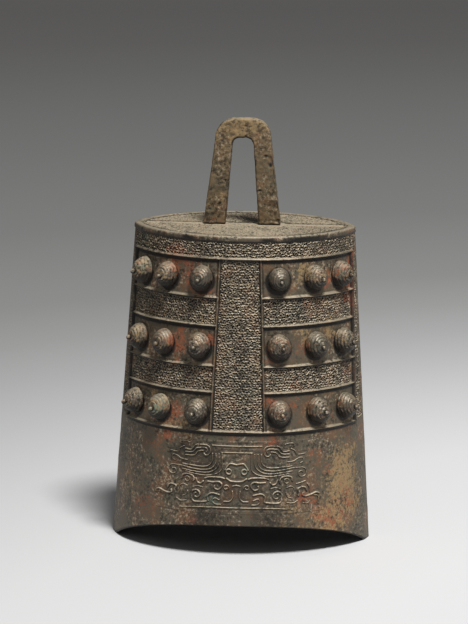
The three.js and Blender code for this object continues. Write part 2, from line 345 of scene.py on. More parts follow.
def body_relief(form, x, z, face):
    """How far the body stands out at x and z, its raised part, its worn ribs and the rim's upright face,
    which is painted in shade.
    """
    seed = WALL_SEEDS[face]
    place = np.stack([x, z], axis=-1)
    wobble = 0.35 * noise(place, 24, seed) + 0.12 * noise(place, 7, seed + 1)
    ribs = np.zeros_like(x)
    for level, span in form.rib_spans(x, z, RIB_EDGE):
        distance = z - level - RIB_LIFT + wobble * 0.6
        ribs = np.maximum(ribs, span * rib_profile(distance, RIB_WIDTH, form.rib_rise))
    in_frame = smooth_step(-FRAME_EDGE, 0, z - form.ribs[0])
    in_frame *= 1 - smooth_step(0, FRAME_EDGE, z - form.ribs[-1])
    panel_line = np.abs(x) - form.panel_edge(z) + wobble * 0.3
    frame_line = np.abs(x) - form.frame_edge(z) + UPRIGHT_WIDTH / 2
    for line in (panel_line, frame_line):
        upright = rib_profile(line, UPRIGHT_WIDTH, form.rib_rise * UPRIGHT_RISE)
        ribs = np.maximum(ribs, in_frame * upright)
    ribs *= 1 + 0.18 * noise(place, 16, seed + 2)
    # The rim's upright face is painted darker: painted shade
    rim_face_shade = smooth_step(RIM_HEIGHT, RIM_HEIGHT - 0.4, form.height - z)
    rim_face_shade *= smooth_step(0.3, 0.9, form.height - z) * (1 + 0.8 * noise(place, 9, seed + 6))
    rim = RIM_RISE * smooth_step(-0.3, 0.2, z - (form.height - RIM_HEIGHT))
    rim *= 1 - smooth_step(-0.8, 0.1, z - form.height)
    ground = 0.22 * layered_noise(place, 18, seed + 3) + 0.1 * noise(place, 4, seed + 4)
    ground *= smooth_step(form.height, form.height - 6, z) * smooth_step(0, 6, z)
    sunk = np.zeros_like(x)
    for field in patterned_fields(form):
        sunk = np.maximum(sunk, field.cover(x, z))
    worn = ribs * (1 + 0.9 * layered_noise(place, 8, seed + 5))
    return np.maximum(ribs + ground, rim) - GROUND_DEPTH * sunk, ribs + rim, worn, rim_face_shade


def shade_round_ribs_and_bosses(form, x, z):
    """How much painted shade lies at x and z, from 0 to 1: painted shadow under each rib, beside the
    uprights and round the foot of each boss, dropped below it.
    """
    depth = np.zeros_like(x)
    for level, span in form.rib_spans(x, z, SHADE_EDGE):
        below = level + RIB_LIFT - RIB_WIDTH / 2 - z
        depth = np.maximum(depth, span * (below > -0.5) * (1 - smooth_step(*RIB_SHADE, below)))
    in_frame = (z > form.ribs[0]) & (z < form.ribs[-1])
    panel, edge = form.panel_edge(z), form.frame_edge(z)
    for upright, way, strength in ((panel, -1, 0.9), (edge, -1, 0.9), (panel, 1, 0.6)):
        beside = way * (np.abs(x) - upright) - UPRIGHT_WIDTH / 2
        line = (beside > -0.2) * (1 - smooth_step(*UPRIGHT_SHADE, beside))
        depth = np.maximum(depth, in_frame * line * strength)
    along = np.abs(form.along(x, z))
    for level in map(form.row_level, range(len(ROWS))):
        for share in BOSS_SHARES.values():
            seat = form.along(np.array(share * form.half_width(level)), level)
            # The ring of painted shadow round each boss sits lower than the boss
            away = np.hypot(along - seat, z - level + BOSS_SHADE_DROP)
            depth = np.maximum(depth, 1 - smooth_step(*BOSS_SHADE, away))
    return depth


def old_dirt(x, z, face):
    """How much grime has settled on the lower middle of a face, from 0 to 1."""
    patches = 0.44 + 0.4 * layered_noise(np.stack([x, z], axis=-1), DIRT_PATCH, DIRT_SEEDS[face])
    middle = 1 - smooth_step(*DIRT_SIDES, np.abs(x))
    return np.clip(patches, 0, DIRT_MOST) * middle * (1 - smooth_step(*DIRT_TOP, z))


class Field:
    """A four-sided field of a face between two edges and two levels, covered by a pattern."""

    def __init__(self, name, left, right, low, high):
        self.name, self.left, self.right, self.low, self.high = name, left, right, low, high

    def cover(self, x, z, margin=0.9):
        """1 well inside the field, 0 outside it."""
        across = np.minimum(x - self.left(z), self.right(z) - x)
        upright = np.minimum(z - self.low, self.high - z)
        return smooth_step(margin, margin + 0.3, np.minimum(across, upright))


def patterned_fields(form):
    """The fields of one face that carry the small cast curls."""
    half, ribs = RIB_WIDTH / 2, form.ribs
    edges = {
        "middle": lambda z: form.panel_edge(z) - UPRIGHT_WIDTH / 2,
        "inner": lambda z: form.panel_edge(z) + UPRIGHT_WIDTH / 2,
        "outer": lambda z: form.frame_edge(z) - UPRIGHT_WIDTH,
        "strip": lambda z: form.frame_edge(z) + 0.1,
        "ridge": lambda z: form.half_width(z) - 0.5,
    }
    mirrored = {name: lambda z, edge=edge: -edge(z) for name, edge in edges.items()}
    fields = [
        Field("middle_panel", mirrored["middle"], edges["middle"], ribs[0] + half, ribs[5] - half),
        Field("shoulder", mirrored["ridge"], edges["ridge"], ribs[5] + half, form.height - RIM_HEIGHT),
    ]
    for name, near, far, low, high in (
        ("lower_band", "inner", "outer", ribs[1] + half, ribs[2] - half),
        ("upper_band", "inner", "outer", ribs[3] + half, ribs[4] - half),
        ("side_strip", "strip", "ridge", ribs[0] + half, ribs[5] + half),
    ):
        fields.append(Field(f"{name}_right", edges[near], edges[far], low, high))
        fields.append(Field(f"{name}_left", mirrored[far], mirrored[near], low, high))
    return fields


# Small cast curls, sized as shares of their pitch

CURL_SPACING = (1.12, 0.94)
CURL_JITTER = (0.5, 0.6)
CURL_SIZES = (0.27, 0.37)
CURL_REACH = 1.15
CURL_LINE = 0.19
CURL_MOUTH = (0.35, 0.9)
CURL_EYE = (0.75, 1.35)
DEEP_CURLS = 0.7
SHALLOW_EYE = 0.4


def curl_pattern(along, upright, pitch, seed):
    """Height of packed small curls and depth of their pits, each from 0 to 1, at places in millimetres.

    Each curl is an open ring with a tail.
    """
    width, tallness = (pitch * share for share in CURL_SPACING)
    place = np.stack([along / width, upright / tallness], axis=-1)
    height = np.zeros(along.shape)
    pits = np.zeros(along.shape)
    for step in np.ndindex(3, 3):
        cell = np.floor(place) + np.array(step) - 1
        chance = [lattice_value(cell, seed + index) for index in range(5)]
        brick = 0.5 * (cell[..., 1] % 2)
        centre_x = cell[..., 0] + 0.25 + brick + (chance[0] - 0.5) * CURL_JITTER[0]
        centre_z = cell[..., 1] + 0.5 + (chance[1] - 0.5) * CURL_JITTER[1]
        away_x = (place[..., 0] - centre_x) * width
        away_z = (place[..., 1] - centre_z) * tallness
        turn = 2 * math.pi * chance[2]
        ahead = away_x * np.cos(turn) + away_z * np.sin(turn)
        aside = away_z * np.cos(turn) - away_x * np.sin(turn)
        size = pitch * blend(*CURL_SIZES, chance[3])
        line = pitch * CURL_LINE
        distance = np.hypot(away_x / CURL_REACH, away_z)
        mouth = smooth_step(*CURL_MOUTH, ahead / (distance + 1e-6))
        ring = (1 - np.abs(distance - size) / line) * (1 - mouth)
        tail = 1 - np.hypot((ahead - size * 0.7) * 0.5, aside - size * 1.05) / line
        bump = np.sqrt(np.clip(np.maximum(ring, tail), 0, 1))
        height = np.maximum(height, (0.4 + 0.6 * chance[4]) * bump)
        eye = 1 - smooth_step(*CURL_EYE, np.hypot(away_x, away_z + 0.3 * size) / size)
        pits = np.maximum(pits, eye * np.where(chance[3] < DEEP_CURLS, 1.0, SHALLOW_EYE))
    return height, pits * (1 - 0.6 * height)


# Ornament below the frame: scrolls, a small mask and hooked curls, drawn as strokes in millimetres

LINE = 0.95
BAR = 1.6
LINE_RISE = 0.8
BAR_RISE = 1.0
GROOVE = 0.3
STROKE_REACH = 2.5
FAR = 9.0
ORNAMENT_SEEDS = {"front": 71, "back": 83}


def arc(centre_x, centre_z, radius, start, end, tight=1.0):
    """Points on a round stroke between two angles in degrees; tight under 1 winds it inwards."""
    count = max(6, int(abs(end - start) / 12))
    turn = np.radians(np.linspace(start, end, count))
    radii = radius * np.linspace(1, tight, count)
    return np.stack([centre_x + radii * np.cos(turn), centre_z + radii * np.sin(turn)], axis=-1)


def bow(*knots):
    """A smooth stroke through given knots."""
    knots = np.array(knots, float)
    padded = np.vstack([2 * knots[0] - knots[1], knots, 2 * knots[-1] - knots[-2]])
    share = np.linspace(0, 1, 9)[:-1, None]
    pieces = []
    for before, start, end, after in zip(padded, padded[1:], padded[2:], padded[3:]):
        bend = 2 * before - 5 * start + 4 * end - after
        twist = 3 * start - before - 3 * end + after
        pieces.append(0.5 * (2 * start + (end - before) * share + bend * share**2 + twist * share**3))
    return np.vstack([*pieces, knots[-1:]])


def scroll_lines():
    """Lines that step up towards the middle and curl, with a forked outer end."""
    step = ((35, 72.8), (31, 72.6), (29.2, 74.6), (27.2, 76.3), (21, 76.5))
    yield bow(*step, (18.6, 75), (17.9, 72.5), (19, 70.2), (21, 69.5), (22.4, 70.8))
    yield bow((35, 70.6), (30.2, 71), (28.4, 72.4), (26.8, 74.1), (21.2, 74.5), (19.9, 72.9), (20.6, 71.7))
    yield bow((35, 68.4), (29.2, 68.8), (27.5, 70.2), (26, 71.9), (22.9, 72.6))
    yield bow((34, 65.2), (38, 65.7), (40.8, 67.3), (43.6, 67.6), (44.4, 65.2), (42.4, 63.9))
    yield bow((32, 77.3), (34.4, 78), (37.6, 77.8), (38.2, 75.8))
    yield bow((39.7, 69.9), (38.6, 72.6), (36, 74.4))
    yield bow((41, 70), (45.6, 70.2))
    yield bow((0, 76.6), (16.8, 76.6))
    yield bow((0, 72.1), (10.4, 72))


def sweep_lines():
    """Four nested lines that sweep outwards below the scroll and end in hooks."""
    yield bow((16.4, 71), (16.4, 66.5), (18.3, 63.3), (22.2, 61.8), (30.5, 61.9), (37, 62.3))
    reach = ((14.2, 71), (14.2, 65), (16.2, 61.6), (19.8, 60), (25, 59.6), (31, 60), (37.6, 61), (41.9, 61))
    yield np.vstack([bow(*reach), arc(43.3, 57.2, 4.0, 108, -330, 0.22)])
    yield bow((12, 71), (12, 64.5), (14, 60.8), (18.2, 58.3), (24.2, 57.7), (31, 58.1), (37.2, 58.9))
    yield bow((9.9, 71.6), (9.8, 62), (11.8, 58.6), (15.8, 56.7), (21.5, 55.9), (28.5, 56.3), (35, 57.4))
    yield bow((0, 34.6), (22, 34.2), (38, 32.7))


def mask_bars():
    """Half of a small animal mask: brow, eye and jaw."""
    yield bow((0, 63.8), (4.1, 64.6), (6, 63), (7.7, 60.3))
    yield arc(5.2, 59.1, 1.7, 0, 360)
    yield bow((0, 52.4), (4, 52.8), (6.6, 54.4))


def hooked_bars():
    """Bars, hooks and wound curls in two interlaced rows."""
    yield bow((21.2, 53.9), (18.6, 54.8), (14, 55), (10.4, 54.9), (8.2, 54.2))
    hook = ((19.2, 51.8), (15.6, 51.6), (12, 52), (9.9, 50.6), (10.4, 48.2))
    yield bow(*hook, (12.5, 46.6), (14.7, 47.6), (14.6, 49.2))
    yield bow((27.5, 53.2), (26.3, 50.7), (24.1, 50.1), (22.6, 51.6))
    yield bow((37.5, 52.2), (36.7, 54.6), (33.9, 55.6), (30.7, 55.2), (28.9, 53), (29.4, 51))
    yield bow((46.9, 44.9), (45.8, 47), (43.4, 47.5), (41.2, 46.3), (42, 43.9), (41.6, 41.8))
    yield bow((54.8, 42), (53, 42.8), (50.2, 41.8), (46.4, 41), (44.4, 41.9), (44.6, 43.4))
    yield arc(27.2, 42.4, 3.6, -30, 430, 0.3)
    yield bow((30.6, 39.6), (29, 37.6), (24.4, 37.5), (20.2, 38.1))
    yield bow((18.9, 38.7), (19.4, 41.8), (17.8, 43.6), (15.4, 44), (11.6, 43.1))


def small_lines():
    """Short finer lines between the bars."""
    yield arc(33.5, 52.4, 1.6, 0, 360)
    yield arc(7, 48.2, 2.1, 200, -150, 0.4)
    yield bow((2.6, 46), (2.2, 42), (4.2, 39.2), (8.2, 38.8))
    yield bow((11.4, 39.6), (14.6, 40.8), (16, 38.6), (14, 36.8), (10.6, 36.6))
    yield bow((33.4, 47.6), (36.4, 48.6), (38.6, 46.8), (38, 44))
    yield bow((33.2, 44.4), (34.6, 41.4), (37.6, 40.2))
    yield bow((22.6, 47.4), (26, 48.2), (29.6, 47.2))
    yield bow((34, 37.6), (38, 37), (41, 38.6))
    yield bow((0, 50), (2.6, 49.4))


def one_sided_lines():
    """Lines that stand on the right side only."""
    yield bow((40, 50), (43, 50.6), (46, 51.6))
    yield bow((47.2, 49.6), (48.6, 46.6), (49.1, 43.4))
    yield bow((51.3, 41.2), (54.5, 39.9), (55, 34.7))
    yield bow((44.8, 36.6), (47.9, 36), (49.2, 37.9))


def ornament_strokes():
    """Every stroke of the panel, on both sides of its middle, with its width and rise."""
    fine, bold = (LINE, LINE_RISE), (BAR, BAR_RISE)
    motifs = {scroll_lines: fine, sweep_lines: fine, small_lines: fine, mask_bars: bold, hooked_bars: bold}
    strokes = [(path, *fine) for path in one_sided_lines()]
    for motif, cut in motifs.items():
        for path in motif():
            strokes += [(path, *cut), (path * np.array([-1, 1]), *cut)]
    return strokes


def stroke_distance(x, z, path):
    """Distance from each place to a stroke, far away where it can't matter."""
    distance = np.full(x.shape, FAR)
    low, high = path.min(0) - STROKE_REACH, path.max(0) + STROKE_REACH
    near = (x > low[0]) & (x < high[0]) & (z > low[1]) & (z < high[1])
    place = np.stack([x[near], z[near]], axis=-1)
    best = np.full(len(place), FAR)
    for start, end in zip(path, path[1:]):
        along = end - start
        share = np.clip((place - start) @ along / (along @ along + 1e-9), 0, 1)
        gap = place - start - share[:, None] * along
        best = np.minimum(best, np.hypot(gap[:, 0], gap[:, 1]))
    distance[near] = best
    return distance


def ornament_relief(x, z, face):
    """Rise of the worn ornament, and the height of its lines and depth of its grooves apart."""
    height = np.zeros_like(x)
    groove = np.zeros_like(x)
    for path, width, rise in ornament_strokes():
        away = stroke_distance(x, z, path)
        height = np.maximum(height, rise * (1 - smooth_step(width * 0.22, width * 0.5 + 0.12, away)))
        groove = np.maximum(groove, 1 - smooth_step(width * 0.5 + 0.5, width * 0.5 + 1.5, away))
    place = np.stack([x, z], axis=-1)
    wear = np.clip(0.95 + 0.55 * layered_noise(place, 16, ORNAMENT_SEEDS[face]), 0.3, 1.15)
    rise = height * wear - GROOVE * groove * (height < 0.01) - 0.12 * groove
    return rise, height * wear, groove * (1 - height / BAR_RISE)


# Placed patches of corrosion on each face, as x, height and radius in millimetres and strength

CORROSION = {
    "cuprite": {
        "front": (
            (-43, 201, 6, 0.9), (-45, 191, 4, 1.2), (-29, 177, 4, 1.2), (64, 187, 4, 1.8),
            (56, 182, 4, 1.2), (46, 170, 8, 0.6), (73, 166, 7, 1.3), (-21, 148, 4, 1.3),
            (22, 136, 5, 1.6), (47, 139, 5, 0.8), (22, 115, 6, 1.2), (38, 116, 6, 1.0),
            (72, 121, 7, 1.2), (20, 106, 4, 1.3), (38, 103, 4, 1.2), (-44, 96, 5, 1.1),
            (21, 80, 5, 1.2), (51, 72, 7, 0.6), (43, 41, 4, 0.8), (54, 36, 4, 0.7),
            (-70, 30, 10, 0.3), (58, 187, 5, 2.5), (73, 198, 6, 2.6), (71, 179, 6, 2.4),
            (-26, 190, 8, 1.0), (-44, 206, 6, 1.3), (-46, 143, 5, 1.3), (-48, 79, 5, 1.2),
            (76, 34, 12, 0.9), (66, 16, 12, 0.6), (-36, 189, 9, 0.8), (-22, 178, 7, 0.9),
            (-50, 204, 9, 0.9), (-34, 203, 9, 0.7), (-37, 145, 9, 1.2), (-42, 134, 7, 1.0),
            (-17, 147, 5, 0.9), (-40, 99, 8, 1.1), (-52, 88, 8, 0.8), (70, 188, 8, 1.3),
            (72, 176, 9, 1.1), (56, 166, 9, 0.6), (39, 140, 8, 0.6), (42, 118, 9, 0.6),
            (25, 108, 8, 0.7), (63, 26, 15, 0.6), (44, 39, 5, 1.0), (60, 57, 9, 0.6),
            (20, 80, 9, 0.8), (-56, 72, 8, 0.7), (-62, 30, 10, 0.7), (-30, 22, 12, 0.5),
        ),
        "back": (
            (40, 150, 12, 1.0), (-30, 190, 10, 0.9), (-62, 60, 14, 1.0), (20, 100, 10, 0.9),
            (60, 35, 12, 0.7),
        ),
    },
    "verdigris": {
        "front": (
            (-67, 208, 8, 1.2), (-14, 38, 5, 0.6), (17, 135, 5, 1.0), (22, 160, 7, 0.9),
            (34, 192, 5, 0.9), (30, 122, 8, 0.8), (-66, 190, 9, 1.0), (-50, 205, 8, 0.8),
            (5, 58, 6, 0.8), (30, 60, 7, 0.8), (-18, 40, 8, 0.9), (45, 70, 9, 0.6),
            (-38, 100, 7, 0.7), (8, 112, 7, 0.7), (-2, 92, 6, 0.7), (76, 40, 12, 0.5),
            (18, 262, 8, 0.9), (17, 240, 7, 0.8), (-2, 288, 6, 0.8),
        ),
        "back": ((10, 60, 12, 0.9), (-50, 140, 9, 0.9), (52, 200, 9, 0.8), (-20, 110, 8, 0.8)),
    },
    "ochre": {
        "front": (
            (-48, 87, 6, 1.3), (42, 151, 7, 1.4), (-58, 107, 4, 1.2), (43, 197, 5, 1.2),
            (72, 60, 15, 1.6), (78, 32, 15, 1.2), (62, 20, 17, 1.5), (68, 45, 14, 1.3),
            (40, 189, 8, 1.2), (-40, 87, 8, 1.1), (-26, 162, 9, 0.7), (-58, 163, 9, 0.7),
            (60, 150, 9, 0.6), (52, 96, 8, 0.7), (-75, 40, 14, 0.7), (30, 20, 14, 0.5),
            (16, 130, 9, 0.5), (-10, 160, 9, 0.4), (-2, 290, 20, 1.7), (-20, 268, 10, 0.6),
        ),
        "back": ((-40, 87, 10, 1.0), (30, 165, 10, 0.8), (0, 40, 14, 0.6)),
    },
}
SCATTERED = (0.5, 0.45, 0.6)


def patch_mask(form, points, patches, seed, general, steady):
    """Strength of one kind of corrosion at each point: placed, scattered and steady."""
    mask = 1.2 * steady + general * smooth_step(0.15, 0.75, layered_noise(points, 17, seed))
    for face in FACES:
        for x, z, radius, strength in patches[face]:
            on_wall = turned(form.point(form.angle(np.array(float(x)), z), z), face)
            centre = np.array([x, 0, z]) if z > form.height else on_wall
            away = np.linalg.norm(points - centre, axis=-1) / radius
            mask = mask + 0.8 * strength * np.exp(-(away**2))
    ragged = 1 + 1.1 * layered_noise(points, 5, seed + 9)
    return np.clip(mask * ragged, 0, 1.3)


def paint(form, mesh, points, relief, scattered=SCATTERED, everywhere=(0.0, 0.0, 0.0)):
    """Stores how high each point stands, with painted shade lowered into it, how far it faces up and how
    corroded it is, for the materials.
    """
    masks = {"relief": relief, "facing": read_normals(mesh)[:, 2]}
    for index, (name, patches) in enumerate(CORROSION.items()):
        seed = 201 + 20 * index
        masks[name] = patch_mask(form, points, patches, seed, scattered[index], everywhere[index])
    for name, values in masks.items():
        attribute = mesh.attributes.new(name, "FLOAT", "POINT")
        attribute.data.foreach_set("value", np.ascontiguousarray(values, np.float32))


# Meshes

def read_points(mesh):
    flat = np.empty(len(mesh.vertices) * 3)
    mesh.vertices.foreach_get("co", flat)
    return flat.reshape(-1, 3)


def read_normals(mesh):
    flat = np.empty(len(mesh.vertices) * 3)
    mesh.vertices.foreach_get("normal", flat)
    return flat.reshape(-1, 3)


def write_points(mesh, points):
    """Writes points given in millimetres."""
    mesh.vertices.foreach_set("co", (points * MM).ravel())
    mesh.update()


def add_piece(mesh, material, slot, *nodes):
    """Makes the finished piece, which rides on the bell and stands for its CAD nodes."""
    mesh.materials.append(material)
    mesh.shade_smooth()
    piece = bpy.data.objects.new(mesh.name, mesh)
    bpy.context.scene.collection.objects.link(piece)
    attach(piece, "root")
    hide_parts(*nodes)


def mesh_from(name, bm):
    bmesh.ops.recalc_face_normals(bm, faces=bm.faces)
    mesh = bpy.data.meshes.new(name)
    bm.to_mesh(mesh)
    bm.free()
    return mesh


def slab_mesh(name, width, height, grain):
    """A flat slab with a fine top, one step of skirt and a closed underside.

    Also gives each point's share of the width and of the height, and whether it belongs to the skirt.
    """
    bm = bmesh.new()
    columns, rows = (max(2, round(size / grain)) for size in (width, height))
    bmesh.ops.create_grid(bm, x_segments=columns, y_segments=rows, size=0.5)
    bmesh.ops.scale(bm, vec=(width, height, 1), verts=bm.verts)
    rim = [edge for edge in bm.edges if edge.is_boundary]
    skirt = bmesh.ops.extrude_edge_only(bm, edges=rim)["geom"]
    lowered = [part for part in skirt if isinstance(part, bmesh.types.BMVert)]
    bmesh.ops.translate(bm, vec=(0, 0, -1), verts=lowered)
    open_edges = [edge for edge in bm.edges if edge.is_boundary]
    bmesh.ops.triangle_fill(bm, use_beauty=True, edges=open_edges)
    mesh = mesh_from(name, bm)
    flat = read_points(mesh)
    return mesh, flat[:, 0] / width + 0.5, flat[:, 1] / height + 0.5, flat[:, 2] < -0.5


def finished_slab(form, mesh, points, skirt, relief):
    """The slab moved to its place and painted, with a dark skirt."""
    write_points(mesh, points)
    paint(form, mesh, points, np.where(skirt, 0, relief))
    return mesh


# Body

FIELD_COLUMNS = (14, 62, 32, 62, 14)
LEVEL_RINGS = (4, 8, 20, 15, 20, 14, 20)
WALL_RINGS = 46
LIP_RINGS = 5
INNER_RINGS = 26
CEILING_RINGS = 8
CROWN_SHARES = (*(0.1 * step for step in range(1, 9)), 0.88, 0.925, 0.944, 0.958, 0.98)
BORDER_SHARE = 0.95


def body_columns(form, z):
    """Plan angles of the body's columns on each level, from the left ridge to the right one."""
    edge, panel = form.frame_edge(z) - UPRIGHT_WIDTH / 2, form.panel_edge(z)
    marks = [np.full_like(z, -form.ridge_angle)]
    marks += [form.angle(x, z) for x in (-edge, -panel, panel, edge)]
    marks.append(np.full_like(z, form.ridge_angle))
    columns = []
    for start, end, count in zip(marks, marks[1:], FIELD_COLUMNS):
        columns.append(start + (end - start) * crowded_ends(count)[:-1])
    return np.concatenate([*columns, marks[-1]], axis=-1)


def outer_levels(form):
    """Levels of the outer wall's rings above the ornament, from the crown down."""
    marks = [form.height, form.height - RIM_HEIGHT, *form.ribs[::-1]]
    steps = zip(marks, marks[1:], LEVEL_RINGS)
    return np.concatenate([blend(high, low, crowded_ends(count)[:-1]) for high, low, count in steps])


def face_rings(form, face):
    """Points of one half of the body, ring by ring from the crown's middle to the ceiling's middle."""
    levels = outer_levels(form)[:, None]
    angles = body_columns(form, levels)
    share = crowded_ends(WALL_RINGS, 0.5)[:, None]
    foot_angles = body_columns(form, blend(form.ribs[0], form.arch_height, share))
    lowest = form.mouth_rim(form.point(foot_angles[-1:], form.arch_height * np.ones((1, 1)))[..., 0])
    levels = np.vstack([levels * np.ones_like(angles), blend(form.ribs[0], lowest, share)])
    angles = np.vstack([angles, foot_angles])
    across = form.point(angles, levels)[..., 0]
    rise, high, worn, rim_face_shade = body_relief(form, across, levels, face)
    outer = form.point(angles, levels, rise)
    outer[-1, :, 2] = form.mouth_rim(outer[-1, :, 0])
    top, foot = angles[:1], angles[-1:]

    inward = np.array(CROWN_SHARES)[:, None]
    crown = form.point(top * np.ones_like(inward), form.height * np.ones_like(inward))
    crown[..., :2] *= inward[..., None]
    crown[..., 2] -= GROUND_DEPTH * (inward < BORDER_SHARE)

    thickness = lambda z: blend(form.lip, form.wall, np.clip(z / LIP_BAND, 0, 1))
    inner_foot = form.point(foot, lowest, grow=-thickness(lowest))
    inner_foot[..., 2] = form.mouth_rim(inner_foot[..., 0])
    lip = blend(outer[-1:], inner_foot, np.linspace(0, 1, LIP_RINGS + 1)[1:-1, None, None])
    lip[..., 2] = form.mouth_rim(lip[..., 0])

    climb = np.linspace(0, 1, INNER_RINGS)[:, None]
    ceiling_level = form.height - CROWN_THICKNESS
    inner_levels = blend(inner_foot[..., 2], ceiling_level, climb)
    inner = form.point(blend(foot, top, climb), inner_levels, grow=-thickness(inner_levels))
    rough = layered_noise(inner, 14, 313) * 0.5 * smooth_step(0, 0.2, climb)
    inner[..., :2] *= (1 + rough / 60 * smooth_step(0, 0.1, 1 - climb))[..., None]
    closing = np.linspace(1, 0, CEILING_RINGS + 1)[1:-1, None, None]
    ceiling = inner[-1:] * np.array([1, 1, 0]) * closing + np.array([0, 0, ceiling_level])

    # Painted shadow under the ribs, beside the uprights and below the bosses, joined with dirt on the lower
    # middle of the face
    dirt_and_painted_shade = np.maximum(shade_round_ribs_and_bosses(form, across, levels), old_dirt(across, levels, face))
    outer_relief = 0.5 + 0.3 * (rise - high) + 0.12 * worn - 0.27 * rim_face_shade - 0.5 * dirt_and_painted_shade
    # The inside and the ceiling are painted at the lowest relief: painted shade inside the bell
    parts = ((crown, 0.5), (outer, outer_relief), (lip, 0.6), (inner, 0.0), (ceiling, 0.0))
    relief = [np.broadcast_to(value, rings.shape[:-1]) for rings, value in parts]
    return np.vstack([rings for rings, value in parts]), np.vstack(relief)


def body_mesh(form):
    """The whole casting as one closed skin, shaped from a sphere whose rings run over its crown,
    down its outer wall, round its lip and up its inside."""
    halves = [face_rings(form, face) for face in FACES]
    points = np.concatenate([turned(half[0], face)[:, :-1] for half, face in zip(halves, FACES)], axis=1)
    relief = np.concatenate([half[1][:, :-1] for half in halves], axis=1)
    ring_count, column_count = relief.shape
    bm = bmesh.new()
    bmesh.ops.create_uvsphere(bm, u_segments=column_count, v_segments=ring_count + 1, radius=1)
    mesh = mesh_from("bell_casting", bm)
    ball = read_points(mesh)
    ring = np.round(np.arccos(np.clip(ball[:, 2], -1, 1)) / math.pi * (ring_count + 1)).astype(int) - 1
    column = np.round(np.arctan2(ball[:, 1], ball[:, 0]) / (2 * math.pi) * column_count).astype(int)
    column %= column_count
    top, bottom = ring < 0, ring >= ring_count
    ring = np.clip(ring, 0, ring_count - 1)
    placed = points[ring, column]
    placed[top] = (0, 0, points[0, 0, 2])
    placed[bottom] = (0, 0, points[-1, 0, 2])
    write_points(mesh, placed)
    paint(form, mesh, placed, relief[ring, column])
    return mesh


# Patterned fields and ornament

FIELD_GRAIN = 0.285
CURL_RISE = 0.62
CURL_GROUND = -0.2
CURL_PIT = 1.2
SKIRT_DEPTH = 1.7
MEAN_WIDTH = 0.94
PATTERN_SHIFT = 400
ORNAMENT_GRAIN = 0.36
ORNAMENT_LIFT = 0.08
ORNAMENT_WIDTH = 118.0
ORNAMENT_LEVELS = (29.0, 81.0)
ORNAMENT_HALF_WIDTHS = (60.0, 49.0)


def field_mesh(form, field, face, pitch):
    """A thin slab that carries the cast curls of one field."""
    low, high = field.low - 0.2, field.high + 0.2
    middle = np.array((low + high) / 2)
    left, right = field.left(middle), field.right(middle)
    width = form.radius * float(form.angle(right, middle) - form.angle(left, middle)) * MEAN_WIDTH
    mesh, u, v, skirt = slab_mesh(f"{face}_{field.name}", width, high - low, FIELD_GRAIN)
    z = blend(low, high, v)
    angle = blend(form.angle(field.left(z), z), form.angle(field.right(z), z), u)
    along = angle * form.radius * MEAN_WIDTH
    seed = 300 + 40 * FACES.index(face) + sum(map(ord, field.name))
    bumps, pits = curl_pattern(along + PATTERN_SHIFT, z + PATTERN_SHIFT, pitch, seed)
    place = np.stack([along, z], axis=-1)
    wear = np.clip(0.92 + 0.5 * layered_noise(place, 15, seed + 7), 0.35, 1.1)
    rise = CURL_GROUND + (CURL_RISE * bumps - CURL_PIT * pits) * wear + 0.1 * noise(place, 5, seed + 8)
    points = turned(form.point(angle, z, np.where(skirt, -SKIRT_DEPTH, rise)), face)
    ground = 0.6 + 0.2 * noise(place, 1.3, seed + 9)
    return finished_slab(form, mesh, points, skirt, ground + 0.45 * bumps * wear - 1.6 * pits)


def ornament_mesh(form, face):
    """The ornament between the frame and the mouth, lifted just clear of the wall it is cast on."""
    low, high = ORNAMENT_LEVELS
    mesh, u, v, skirt = slab_mesh(f"{face}_ornament", ORNAMENT_WIDTH, high - low, ORNAMENT_GRAIN)
    z = blend(low, high, v)
    half = blend(*ORNAMENT_HALF_WIDTHS, v)
    x = half * (2 * u - 1)
    plain = body_relief(form, x, z, face)[0]
    relief, lines, grooves = ornament_relief(x, z, face)
    margin = np.minimum(np.minimum(u, 1 - u) * 2 * half, np.minimum(z - low, high - z))
    sink = 0.6 * (1 - smooth_step(0, 1.2, margin))
    rise = np.where(skirt, -SKIRT_DEPTH, plain + relief + ORNAMENT_LIFT - sink)
    points = turned(form.point(form.angle(x, z), z, rise), face)
    ground = 0.5 + 0.3 * plain - np.maximum(0.6 * grooves, 0.45 * old_dirt(x, z, face))
    return finished_slab(form, mesh, points, skirt, ground + 0.5 * lines)


# Crown

CROWN_GRAIN = 0.42
STRIP_GRAIN = 0.8
STRIP_SUNK = 0.05
STRIP_EDGE = 0.25
CROWN_PITCH = 1.9
CROWN_SHADE_BAND = 4.2
CROWN_DEPTH = 0.45
CROWN_GAP = 1.2
CROWN_SHIFT = 300


def strip_half_width(x):
    """Half width of the plain strip along the crown, wider round the two legs of the loop."""
    away = np.minimum(np.abs(x - LOOP_OFFSET - LEG_CENTRE), np.abs(x - LOOP_OFFSET + LEG_CENTRE))
    seat = 1 - smooth_step(SEAT_HALF_LENGTH, SEAT_HALF_LENGTH + 1.2, away)
    return STRIP_HALF + (SEAT_HALF_DEPTH - STRIP_HALF) * seat


def crown_strip_mesh(form):
    """The plain strip from ridge to ridge, with the seats of the loop."""
    reach = form.half_width(form.height) - BORDER * 1.5
    mesh, u, v, skirt = slab_mesh("crown_strip", 2 * reach, 2 * SEAT_HALF_DEPTH, STRIP_GRAIN)
    x = reach * (2 * u - 1)
    y = strip_half_width(x) * (2 * v - 1)
    place = np.stack([x, y], axis=-1)
    edge = np.minimum(v, 1 - v)
    height = form.height - STRIP_SUNK - STRIP_EDGE * (1 - smooth_step(0, 0.12, edge))
    height += 0.06 * noise(place, 6, 401)
    z = np.where(skirt, form.height - SKIRT_DEPTH, np.minimum(height, form.height))
    inside = strip_half_width(x) - np.abs(y)
    # Along the back edge of the strip the tone is painted darker: painted shade
    worn = 0.95 + 0.25 * noise(place, 3, 407) - 0.8 * (y > 0) * (1 - smooth_step(0.2, 2.0, inside))
    return finished_slab(form, mesh, np.stack([x, y, z], axis=-1), skirt, worn)


